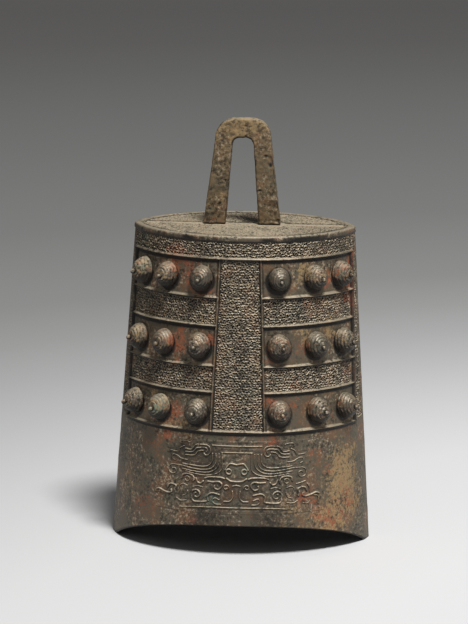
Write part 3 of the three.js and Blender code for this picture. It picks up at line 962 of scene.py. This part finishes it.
def crown_field_mesh(form, face):
    """The granular half of the crown in front of or behind the strip, with painted shade and painted shadows
    on it.
    """
    wide = form.half_width(form.height) * BORDER_SHARE - CROWN_GAP
    deep = form.half_depth(form.height) * BORDER_SHARE
    mesh, u, v, skirt = slab_mesh(f"crown_field_{face}", 2 * wide, deep * 0.8, CROWN_GRAIN)
    x = wide * (2 * u - 1)
    _, out = form.plan(form.angle(x / BORDER_SHARE, form.height))
    near = strip_half_width(x)
    y = -blend(np.maximum(out * deep, near + 0.3), near, v)
    bumps, pits = curl_pattern(x + CROWN_SHIFT, y + CROWN_SHIFT, CROWN_PITCH, 431 + FACES.index(face))
    place = np.stack([x, y], axis=-1)
    wear = np.clip(0.8 + 0.5 * layered_noise(place, 12, 441), 0.2, 1)
    z = form.height - CROWN_DEPTH + (0.35 * bumps - 0.3 * pits) * wear
    z = np.where(skirt, form.height - SKIRT_DEPTH, z)
    points = turned(np.stack([x, y, z], axis=-1), face)
    # A dark band inside the rim: painted shade in the corner between rim and field
    line = 1 - smooth_step(0.8 * CROWN_SHADE_BAND, 1.4 * CROWN_SHADE_BAND, out * deep - np.abs(y))
    worn = 0.53
    if face == "front":
        # The front field is paler in its middle and a little darker towards the right
        worn = worn + 0.27 * (1 - smooth_step(5, 40, np.abs(x - 8))) - 0.08 * smooth_step(15, 40, x)
    else:
        # Behind the strip: a painted shadow of the strip, and between the legs of the loop a painted shadow
        # of the loop
        strip_shadow = 1 - smooth_step(CROWN_SHADE_BAND, 1.5 * CROWN_SHADE_BAND, np.abs(y) - near)
        loop_shadow = 1 - smooth_step(7, 17, np.abs(x - LOOP_OFFSET + 5))
        line = np.maximum(line, np.maximum(strip_shadow, 0.9 * loop_shadow))
    worn = worn + 0.6 * bumps * wear - 1.15 * pits - 0.36 * line
    return finished_slab(form, mesh, points, skirt, worn)


# Bosses

BOSS_COLUMNS = 68
BOSS_RINGS = 90
NUB_RADIUS = 1.7
NUB_SHARE = 0.14
NUB_TURN = 0.78
NUB_LIFT = 0.55
FOOT_SHARE = 0.86
FOOT_DEPTH = 0.9
COIL_DEPTH = 0.5
DOME_BEND = 0.95
DOME_ROUNDNESS = (0.78, 0.98)
BOSS_SIZES = (-0.03, 0.015)
BOSS_LEANS = (-0.8, 0.8)
BOSS_DROOPS = (0.7, 1.9)
BOSS_CRUSTS = (0.5, 0.5, 0.8)
SMALL_BOSS = ("front", 1, "upper", "inner")
SMALL_SHARE = 0.9
# Strength of the red, green and tan crusts on each front boss, from its inner to its outer column
FRONT_CRUSTS = {
    (-1, "upper"): ((0.0, 0.1, 0.0), (0.15, 0.25, 0.5), (0.55, 0.3, 0.9)),
    (-1, "middle"): ((0.15, 0.0, 0.1), (0.35, 0.1, 0.2), (0.25, 0.0, 0.5)),
    (-1, "lower"): ((0.0, 0.0, 0.0), (0.2, 0.6, 0.6), (0.15, 0.1, 0.5)),
    (1, "upper"): ((0.0, 0.0, 0.0), (0.15, 0.1, 0.4), (0.35, 0.4, 0.3)),
    (1, "middle"): ((0.35, 0.0, 0.2), (0.05, 0.0, 0.0), (0.05, 0.1, 0.2)),
    (1, "lower"): ((0.3, 0.0, 0.0), (0.15, 0.0, 0.1), (0.0, 0.1, 0.4)),
}


def boss_mesh(form, sizes, name, side, row, column, face):
    """One boss: a coil that winds up a dome to a round drooping nub, shaped from a closed sphere."""
    generator = np.random.default_rng(sum(map(ord, name)) * 7 + len(name))
    bm = bmesh.new()
    bmesh.ops.create_uvsphere(bm, u_segments=BOSS_COLUMNS, v_segments=BOSS_RINGS, radius=1)
    mesh = mesh_from(name, bm)
    ball = read_points(mesh)
    down = np.arccos(np.clip(ball[:, 2], -1, 1)) / math.pi
    around = np.arctan2(ball[:, 1], ball[:, 0])

    base = sizes.boss_tallness / MM / 2 - COIL_DEPTH * 0.4
    tall = sizes.boss_height / MM - 0.4
    dome = tall - (1 + NUB_LIFT) * NUB_RADIUS
    from_tip = np.clip(down / FOOT_SHARE, 0, 1)
    climb = 1 - np.clip((from_tip - NUB_SHARE) / (1 - NUB_SHARE), 0, 1)
    bend = climb * math.pi / 2 * DOME_BEND
    winding = climb * sizes.boss_turns - side * around / (2 * math.pi)
    swell = winding - np.floor(winding)
    coil = np.sqrt(np.clip(1 - (2 * swell - 1) ** 2, 0, 1)) * (1 - 0.35 * swell)
    fade = smooth_step(0.0, 0.06, climb)
    depth = COIL_DEPTH * (coil - 0.6) * fade
    radius = base * np.cos(bend) ** DOME_ROUNDNESS[0] + depth * np.cos(bend)
    height = dome * np.sin(bend) ** DOME_ROUNDNESS[1] + depth * np.sin(bend)
    on_nub = from_tip < NUB_SHARE
    nub_turn = from_tip / NUB_SHARE * math.pi * NUB_TURN
    radius = np.where(on_nub, NUB_RADIUS * np.sin(nub_turn), radius)
    height = np.where(on_nub, dome + NUB_RADIUS * (NUB_LIFT + np.cos(nub_turn)), height)
    below = down > FOOT_SHARE
    under = (down - FOOT_SHARE) / (1 - FOOT_SHARE)
    radius = np.where(below, base * 0.96 * (1 - under), radius)
    height = np.where(below, -FOOT_DEPTH - 0.3 * under, height)

    size = 1 + generator.uniform(*BOSS_SIZES)
    if (face, side, row, column) == SMALL_BOSS:
        size *= SMALL_SHARE
    narrow = sizes.boss_width / sizes.boss_tallness
    lean, droop = generator.uniform(*BOSS_LEANS), generator.uniform(*BOSS_DROOPS)
    rise = np.clip(height / tall, 0, 1) ** 1.6
    across = radius * np.cos(around) * narrow * size + lean * rise
    upright = radius * np.sin(around) * size - droop * rise
    local = np.stack([across, upright, height], axis=-1)
    seed = int(generator.integers(1, 5000))
    bumps = 0.4 * layered_noise(local, 5.2, seed) + 0.16 * noise(local, 1.2, seed + 5)
    outwards = local / (np.linalg.norm(local, axis=-1, keepdims=True) + 1e-6)
    local = local + outwards * ((bumps - 0.1) * smooth_step(-0.5, 1.2, height))[:, None]

    level = form.row_level(ROWS.index(row))
    angle = form.angle(np.array(side * BOSS_SHARES[column] * form.half_width(level)), level)
    seat = form.point(angle, level)
    normal = form.point(angle, level, 1.0) - seat
    sideways = np.cross((0, 0, 1), normal)
    sideways /= np.linalg.norm(sideways)
    points = turned(seat + local @ np.stack([sideways, np.cross(normal, sideways), normal]), face)
    write_points(mesh, points)
    # Coil valleys darker with earth; the dome round the nub and the nub's neck are painted dark: painted
    # shade round the nub
    relief = 0.26 + 0.4 * coil * fade + 0.4 * bumps - 0.3 * smooth_step(0.88, 0.98, climb)
    relief = np.where(on_nub, 0.62 - 0.6 * smooth_step(0.5, 0.85, from_tip / NUB_SHARE), relief)
    crusts = [strength * generator.uniform() ** 1.6 for strength in BOSS_CRUSTS]
    if face == "front":
        crusts = FRONT_CRUSTS[side, row][COLUMNS.index(column)]
    paint(form, mesh, points, np.where(below, 0, relief), everywhere=crusts)
    return mesh


# Loop

LOOP_GRAIN = 0.55
LOOP_SUNK = 0.22
LOOP_SCATTERED = (0.7, 0.6, 1.0)


def loop_mesh(form):
    """The loop, taken from its solid, softened at its edges and roughened as cast and worn metal."""
    bm = bmesh.new()
    bm.from_mesh(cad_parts["suspension_loop"].data)
    bmesh.ops.remove_doubles(bm, verts=bm.verts, dist=1e-5)
    holder = bpy.data.objects.new("loop_solid", mesh_from("loop_solid", bm))
    bpy.context.scene.collection.objects.link(holder)
    remesh = holder.modifiers.new("even skin", "REMESH")
    remesh.mode = "VOXEL"
    remesh.voxel_size = LOOP_GRAIN * MM
    soften = holder.modifiers.new("worn edges", "SMOOTH")
    soften.iterations = 9
    soften.factor = 0.5
    graph = bpy.context.evaluated_depsgraph_get()
    mesh = bpy.data.meshes.new_from_object(holder.evaluated_get(graph))
    mesh.name = "suspension_loop_worn"
    mesh.materials.clear()
    bpy.data.objects.remove(holder)
    points = read_points(mesh) / MM
    normals = read_normals(mesh)
    above = smooth_step(0, 3, points[:, 2] - form.height)
    rough = 0.34 * layered_noise(points, 11, 505) + 0.2 * noise(points, 2.2, 517)
    pits = -0.5 * smooth_step(0.4, 0.8, noise(points, 3.4, 523))
    points = points + normals * ((rough + pits - LOOP_SUNK) * above)[:, None]
    write_points(mesh, points)
    # Where the surface turns sideways the loop is painted darker: painted shade on its sides
    edge = 1 - np.max(np.abs(normals), axis=1)
    paint(form, mesh, points, 0.5 + 1.1 * rough + 0.7 * pits - 0.8 * edge, scattered=LOOP_SCATTERED)
    return mesh


# Materials

SMOOTH = {"interpolation_type": "SMOOTHSTEP"}
RGBA = {"data_type": "RGBA"}
MULTIPLY_ADD = {"operation": "MULTIPLY_ADD"}
WARM = "#80583a"
COOL = "#5b5a4c"
# Each texture's scale is a thousand over the width of its grain in millimetres
CALM = {"Scale": 1000 / 21.0, "Detail": 2.0, "Roughness": 0.6}
CLOUDS = {"Scale": 1000 / 11.0, "Detail": 5.0, "Roughness": 0.6}
SPECKLE = {"Scale": 1000 / 2.0, "Detail": 3.0, "Roughness": 0.65}
GRAIN = {"Scale": 1000 / 0.5, "Detail": 2.0, "Roughness": 0.6}
# Each crust: its grain and where its edge falls, its cover, roughness and how thick it lies in millimetres
CRUSTS = {
    "ochre": (2.4, 0.58, 0.78, 0.75, 0.82, 0.10),
    "cuprite": (1.8, 0.58, 0.8, 0.85, 0.74, 0.06),
    "verdigris": (1.6, 0.59, 0.78, 0.7, 0.85, 0.12),
}


def add_node(tree, kind, settings=None, inputs=None):
    """Adds a node, sets its properties, and sets or links its inputs."""
    node = tree.nodes.new(kind)
    for name, value in (settings or {}).items():
        setattr(node, name, value)
    for socket, value in (inputs or {}).items():
        if isinstance(value, bpy.types.NodeSocket):
            tree.links.new(value, node.inputs[socket])
        else:
            node.inputs[socket].default_value = value
    return node.outputs


def opaque(colour):
    return (*colour, 1.0)


def empty_material(name):
    material = bpy.data.materials.new(name)
    material.use_nodes = True
    material.node_tree.nodes.clear()
    return material, material.node_tree


def layered_tones(tree, colour, layers):
    """Lays further tones over a colour, each from where its driver starts to where it ends."""
    for driver, start, end, most, tone in layers:
        reach = {"Value": driver, "From Min": start, "From Max": end, "To Max": most}
        share = add_node(tree, "ShaderNodeMapRange", SMOOTH, reach)[0]
        colour = add_node(tree, "ShaderNodeMix", RGBA, {0: share, 6: colour, 7: opaque(tone)})[2]
    return colour


def patinated_bronze(name, sizes, tint, metallic, roughness, dust_and_top_light=(0.6, 1.2, 0.65), calmness=0.65):
    """Cast tin bronze that lay in the ground: dull metal with earth in its hollows and crusts on it.

    Dust and rubbing, with painted top light on upward faces, gather from and up to two heights, as thick as
    its third number says. Painted shade darkens downward faces, and earth and painted shade darken places of
    low relief. Calmness is how much of the speckle is missing where the old surface is whole and smooth.
    """
    material, tree = empty_material(name)
    place = add_node(tree, "ShaderNodeTexCoord")["Object"]
    relief = add_node(tree, "ShaderNodeAttribute", {"attribute_name": "relief"})["Fac"]
    facing = add_node(tree, "ShaderNodeAttribute", {"attribute_name": "facing"})["Fac"]
    calm, clouds, speckle, grain = (
        add_node(tree, "ShaderNodeTexNoise", inputs={"Vector": place, **texture})[0]
        for texture in (CALM, CLOUDS, SPECKLE, GRAIN)
    )
    reach = {"Value": calm, "From Min": 0.47, "From Max": 0.56, "To Max": calmness}
    whole = add_node(tree, "ShaderNodeMapRange", SMOOTH, reach)[0]
    speckle = add_node(tree, "ShaderNodeMix", inputs={0: whole, 2: speckle, 3: 0.49})[0]
    uneven = add_node(tree, "ShaderNodeMath", MULTIPLY_ADD, {0: clouds, 1: 0.45, 2: speckle})[0]
    tones = (
        (clouds, 0.5, 0.64, 0.6, linear(WARM)),
        (clouds, 0.47, 0.35, 0.5, linear(COOL)),
        (uneven, 0.76, 0.9, 0.6, sizes.worn),
    )
    colour = layered_tones(tree, opaque(tint), tones)
    # Pale layer: dust and rubbing on raised places, with painted top light on upward faces
    standing = add_node(tree, "ShaderNodeMath", MULTIPLY_ADD, {0: relief, 1: 0.55, 2: facing})[0]
    standing = add_node(tree, "ShaderNodeMath", MULTIPLY_ADD, {0: speckle, 1: 0.5, 2: standing})[0]
    reach = {"Value": standing, "From Min": dust_and_top_light[0], "From Max": dust_and_top_light[1], "To Max": dust_and_top_light[2]}
    rubbed_and_top_lit = add_node(tree, "ShaderNodeMapRange", SMOOTH, reach)[0]
    colour = add_node(tree, "ShaderNodeMix", RGBA, {0: rubbed_and_top_lit, 6: colour, 7: opaque(sizes.worn)})[2]
    reach = {"Value": speckle, "From Min": 0.3, "From Max": 0.7}
    reach.update({"To Min": roughness - 0.1, "To Max": roughness + 0.1})
    dullness = add_node(tree, "ShaderNodeMapRange", inputs=reach)[0]
    bareness = metallic
    thickness = add_node(tree, "ShaderNodeMath", {"operation": "MULTIPLY"}, {0: grain, 1: 0.14})[0]
    thickness = add_node(tree, "ShaderNodeMath", MULTIPLY_ADD, {0: speckle, 1: 0.45, 2: thickness})[0]
    for crust, (flake, start, end, cover, crust_roughness, depth) in CRUSTS.items():
        amount = add_node(tree, "ShaderNodeAttribute", {"attribute_name": crust})["Fac"]
        texture = {"Vector": place, "Scale": 1000 / flake, "Detail": 5.0, "Roughness": 0.7}
        flakes = add_node(tree, "ShaderNodeTexNoise", inputs=texture)[0]
        ragged = add_node(tree, "ShaderNodeMath", MULTIPLY_ADD, {0: amount, 1: 0.2, 2: flakes})[0]
        reach = {"Value": ragged, "From Min": start, "From Max": end, "To Max": cover}
        patch = add_node(tree, "ShaderNodeMapRange", SMOOTH, reach)[0]
        fresh, dusty = opaque(getattr(sizes, crust)), opaque(sizes.worn)
        powder = add_node(tree, "ShaderNodeMix", RGBA, {0: rubbed_and_top_lit, 6: fresh, 7: dusty})[2]
        colour = add_node(tree, "ShaderNodeMix", RGBA, {0: patch, 6: colour, 7: powder})[2]
        dullness = add_node(tree, "ShaderNodeMix", inputs={0: patch, 2: dullness, 3: crust_roughness})[0]
        bareness = add_node(tree, "ShaderNodeMix", inputs={0: patch, 2: bareness, 3: 0.0})[0]
        thickness = add_node(tree, "ShaderNodeMath", MULTIPLY_ADD, {0: patch, 1: depth, 2: thickness})[0]
    # Darker tones: random patches, earth in hollows with the painted shade that the relief carries, and
    # painted shade on downward faces
    soil_and_shade_tones = (
        (uneven, 0.69, 0.59, 0.75, tuple(channel * 0.2 for channel in tint)),
        (relief, 0.4, 0.08, 0.94, sizes.hollow_soil_and_shade),
        (facing, 0.1, -0.32, 0.93, sizes.hollow_soil_and_shade),
    )
    colour = layered_tones(tree, colour, soil_and_shade_tones)
    bump = add_node(tree, "ShaderNodeBump", inputs={"Strength": 1.0, "Distance": MM, "Height": thickness})[0]
    metal = {"Base Color": colour, "Metallic": bareness, "Roughness": dullness, "Normal": bump}
    surface = add_node(tree, "ShaderNodeBsdfPrincipled", inputs=metal)[0]
    add_node(tree, "ShaderNodeOutputMaterial", inputs={"Surface": surface})
    return material


# Studio

# Painted light on the paper: its tone by distance in metres from the centre of a painted pool of light
PAPER_LIGHT_FALLOFF = {
    0.0: "#eeeeee",
    0.64: "#ebebeb",
    0.86: "#e1e1e1",
    0.95: "#d7d7d7",
    1.05: "#cacaca",
    1.14: "#bcbcbc",
    1.26: "#aaaaaa",
    1.39: "#989897",
    1.54: "#888887",
    1.91: "#767675",
    2.44: "#696968",
    2.8: "#616160",
    3.2: "#575755",
    3.55: "#504f4e",
    4.0: "#4b4a49",
}
LIGHT_POOL_CENTRE = (0.7, -0.4, 0)
FLOOR_RADIUS = 14.0
CAMERA_TURN = 3.1
CAMERA_RISE = 10.84
CAMERA_ROLL = 0.78
CAMERA_DISTANCE = 2.4
CAMERA_TARGET = (-0.00681, 0.0, 0.15615)
CAMERA_LENS = 201.4
SUN_STRENGTH = 3.25
SUN_SOFTNESS = 14
SUN_DIRECTION = (0.24, -0.5, 1.0)
WORLD_STRENGTH = 0.13


def studio_paper():
    """Matt seamless paper with a painted pool of light: pale round the bell and painted grey where the light
    runs out.
    """
    material, tree = empty_material("studio_paper")
    place = add_node(tree, "ShaderNodeTexCoord")["Object"]
    shift = tuple(-part for part in LIGHT_POOL_CENTRE)
    moved = add_node(tree, "ShaderNodeMapping", inputs={"Vector": place, "Location": shift})[0]
    away = add_node(tree, "ShaderNodeVectorMath", {"operation": "LENGTH"}, {0: moved})["Value"]
    reach = max(PAPER_LIGHT_FALLOFF)
    share = add_node(tree, "ShaderNodeMath", {"operation": "DIVIDE"}, {0: away, 1: reach})[0]
    ramp = add_node(tree, "ShaderNodeValToRGB", inputs={"Fac": share})
    elements = ramp["Color"].node.color_ramp.elements
    elements.remove(elements[1])
    for index, (distance, tone) in enumerate(PAPER_LIGHT_FALLOFF.items()):
        stop = elements[0] if index == 0 else elements.new(distance / reach)
        stop.position = distance / reach
        stop.color = opaque(linear(tone))
    paper = {"Base Color": ramp["Color"], "Roughness": 0.9}
    surface = add_node(tree, "ShaderNodeBsdfPrincipled", inputs=paper)[0]
    add_node(tree, "ShaderNodeOutputMaterial", inputs={"Surface": surface})
    return material


# Operators

class ZHONG_OT_body(bpy.types.Operator):
    """Add the cast body with its ribs, crown border and hollow inside"""

    bl_idname = "zhong.body"
    bl_label = "Body"
    bl_options = {"REGISTER", "UNDO"}

    def execute(self, context):
        sizes = context.scene.zhong
        # Cast bronze, chalky grey-brown from burial: dull, with painted shade under the ribs and painted top
        # light on upward faces
        material = patinated_bronze("cast_bronze_body", sizes, sizes.bronze, 0.35, 0.5)
        add_piece(body_mesh(Form(sizes)), material, "body_bronze", "bell_body")
        return {"FINISHED"}


class ZHONG_OT_fields(bpy.types.Operator):
    """Add the fields of small cast curls between the ribs"""

    bl_idname = "zhong.fields"
    bl_label = "Curled fields"
    bl_options = {"REGISTER", "UNDO"}

    def execute(self, context):
        sizes = context.scene.zhong
        form = Form(sizes)
        # Cast curls whose tops are rubbed pale, and painted pale as painted top light, while the ground
        # between them stays dark with soil
        dust_and_top_light = (0.76, 1.12, 0.95)
        material = patinated_bronze("cast_bronze_curls", sizes, sizes.bronze, 0.3, 0.45, dust_and_top_light, 0.5)
        for face in FACES:
            for field in patterned_fields(form):
                add_piece(field_mesh(form, field, face, sizes.curl_pitch / MM), material, "body_bronze")
        return {"FINISHED"}


class ZHONG_OT_ornament(bpy.types.Operator):
    """Add the scrolls, mask and hooked curls below the frame"""

    bl_idname = "zhong.ornament"
    bl_label = "Ornament"
    bl_options = {"REGISTER", "UNDO"}

    def execute(self, context):
        sizes = context.scene.zhong
        # Fine raised lines of cast bronze, worn flat in places and painted pale on upward faces as painted
        # top light, with darker ground beside them
        dust_and_top_light = (0.72, 1.15, 0.75)
        material = patinated_bronze("cast_bronze_scrolls", sizes, sizes.bronze, 0.35, 0.5, dust_and_top_light, 0.4)
        for face in FACES:
            add_piece(ornament_mesh(Form(sizes), face), material, "body_bronze")
        return {"FINISHED"}


class ZHONG_OT_crown(bpy.types.Operator):
    """Add the strip and the granular fields on top"""

    bl_idname = "zhong.crown"
    bl_label = "Crown"
    bl_options = {"REGISTER", "UNDO"}

    def execute(self, context):
        sizes = context.scene.zhong
        form = Form(sizes)
        # Cast bronze that dust has settled on, paler than the walls partly as painted top light, and without
        # gloss
        dust_and_top_light = (1.3, 1.75, 0.7)
        material = patinated_bronze("dusty_bronze_crown", sizes, sizes.crown_tone, 0.15, 0.6, dust_and_top_light, 0.2)
        add_piece(crown_strip_mesh(form), material, "body_bronze")
        for face in FACES:
            add_piece(crown_field_mesh(form, face), material, "body_bronze")
        return {"FINISHED"}


class ZHONG_OT_bosses(bpy.types.Operator):
    """Add the thirty-six coiled bosses"""

    bl_idname = "zhong.bosses"
    bl_label = "Bosses"
    bl_options = {"REGISTER", "UNDO"}

    def execute(self, context):
        sizes = context.scene.zhong
        form = Form(sizes)
        # Coiled bosses rubbed on their crests, painted pale on top as painted top light and dark below as
        # painted shade, with earth packed between the turns
        dust_and_top_light = (0.8, 1.55, 0.5)
        material = patinated_bronze("coiled_bronze_bosses", sizes, sizes.boss_tone, 0.45, 0.38, dust_and_top_light)
        for face in FACES:
            for side_name, side in SIDES.items():
                for row in ROWS:
                    for column in COLUMNS:
                        node = f"boss_{face}_{side_name}_{row}_{column}"
                        mesh = boss_mesh(form, sizes, f"coiled_{node}", side, row, column, face)
                        add_piece(mesh, material, "boss_bronze", node)
        return {"FINISHED"}


class ZHONG_OT_loop(bpy.types.Operator):
    """Add the suspension loop"""

    bl_idname = "zhong.loop"
    bl_label = "Suspension loop"
    bl_options = {"REGISTER", "UNDO"}

    def execute(self, context):
        sizes = context.scene.zhong
        # Handled bronze with a tan crust, warmer and lighter than the body, painted pale on upward faces as
        # painted top light
        dust_and_top_light = (0.8, 1.5, 0.4)
        material = patinated_bronze("crusted_bronze_loop", sizes, sizes.loop_tone, 0.3, 0.55, dust_and_top_light)
        add_piece(loop_mesh(Form(sizes)), material, "loop_bronze", "suspension_loop")
        return {"FINISHED"}


class ZHONG_OT_stage(bpy.types.Operator):
    """Add the paper floor, the soft light and the camera"""

    bl_idname = "zhong.stage"
    bl_label = "Stage"
    bl_options = {"REGISTER", "UNDO"}

    def execute(self, context):
        scene = context.scene
        bm = bmesh.new()
        bmesh.ops.create_circle(bm, cap_ends=True, segments=96, radius=FLOOR_RADIUS)
        floor_mesh = mesh_from("paper_floor", bm)
        floor_mesh.materials.append(studio_paper())
        floor = bpy.data.objects.new("paper_floor", floor_mesh)
        scene.collection.objects.link(floor)
        lamp = bpy.data.lights.new("soft_key", "SUN")
        lamp.energy = SUN_STRENGTH
        lamp.angle = math.radians(SUN_SOFTNESS)
        key = bpy.data.objects.new("soft_key", lamp)
        key.rotation_mode = "QUATERNION"
        key.rotation_quaternion = Vector(SUN_DIRECTION).to_track_quat("Z", "Y")
        scene.collection.objects.link(key)
        world = bpy.data.worlds.new("soft_fill")
        world.use_nodes = True
        world.node_tree.nodes.clear()
        fill = {"Color": (1, 1, 1, 1), "Strength": WORLD_STRENGTH}
        light = add_node(world.node_tree, "ShaderNodeBackground", inputs=fill)[0]
        add_node(world.node_tree, "ShaderNodeOutputWorld", inputs={"Surface": light})
        scene.world = world
        turn, rise, roll = (math.radians(angle) for angle in (CAMERA_TURN, CAMERA_RISE, CAMERA_ROLL))
        back = Vector((math.sin(turn) * math.cos(rise), -math.cos(turn) * math.cos(rise), math.sin(rise)))
        right = Vector((math.cos(turn), math.sin(turn), 0))
        up = back.cross(right)
        tilted_right = right * math.cos(roll) + up * math.sin(roll)
        tilted_up = up * math.cos(roll) - right * math.sin(roll)
        view = bpy.data.cameras.new("photograph_view")
        view.lens = CAMERA_LENS
        camera = bpy.data.objects.new("photograph_view", view)
        pose = Matrix((tilted_right, tilted_up, back)).transposed().to_4x4()
        pose.translation = Vector(CAMERA_TARGET) + back * CAMERA_DISTANCE
        camera.matrix_world = pose
        scene.collection.objects.link(camera)
        bpy.context.scene.camera = camera
        scene.view_settings.view_transform = "Standard"
        return {"FINISHED"}


STEPS = (
    ZHONG_OT_body,
    ZHONG_OT_fields,
    ZHONG_OT_ornament,
    ZHONG_OT_crown,
    ZHONG_OT_bosses,
    ZHONG_OT_loop,
    ZHONG_OT_stage,
)


class ZHONG_PT_bell(bpy.types.Panel):
    """Sizes of the bell and the steps that build it"""

    bl_idname = "ZHONG_PT_bell"
    bl_label = "Zhong Bell"
    bl_space_type = "VIEW_3D"
    bl_region_type = "UI"
    bl_category = "Zhong Bell"

    def draw(self, context):
        sizes = context.scene.zhong
        for name in sizes.__annotations__:
            self.layout.prop(sizes, name)
        for operator in STEPS:
            self.layout.operator(operator.bl_idname)


def register():
    for kind in (ZhongProperties, *STEPS, ZHONG_PT_bell):
        bpy.utils.register_class(kind)
    bpy.types.Scene.zhong = PointerProperty(type=ZhongProperties)


def unregister():
    del bpy.types.Scene.zhong
    for kind in (ZHONG_PT_bell, *reversed(STEPS), ZhongProperties):
        bpy.utils.unregister_class(kind)


def main():
    """Registers the add-on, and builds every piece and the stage."""
    register()
    bpy.ops.zhong.body()
    bpy.ops.zhong.fields()
    bpy.ops.zhong.ornament()
    bpy.ops.zhong.crown()
    bpy.ops.zhong.bosses()
    bpy.ops.zhong.loop()
    bpy.ops.zhong.stage()


if __name__ == "__main__":
    main()
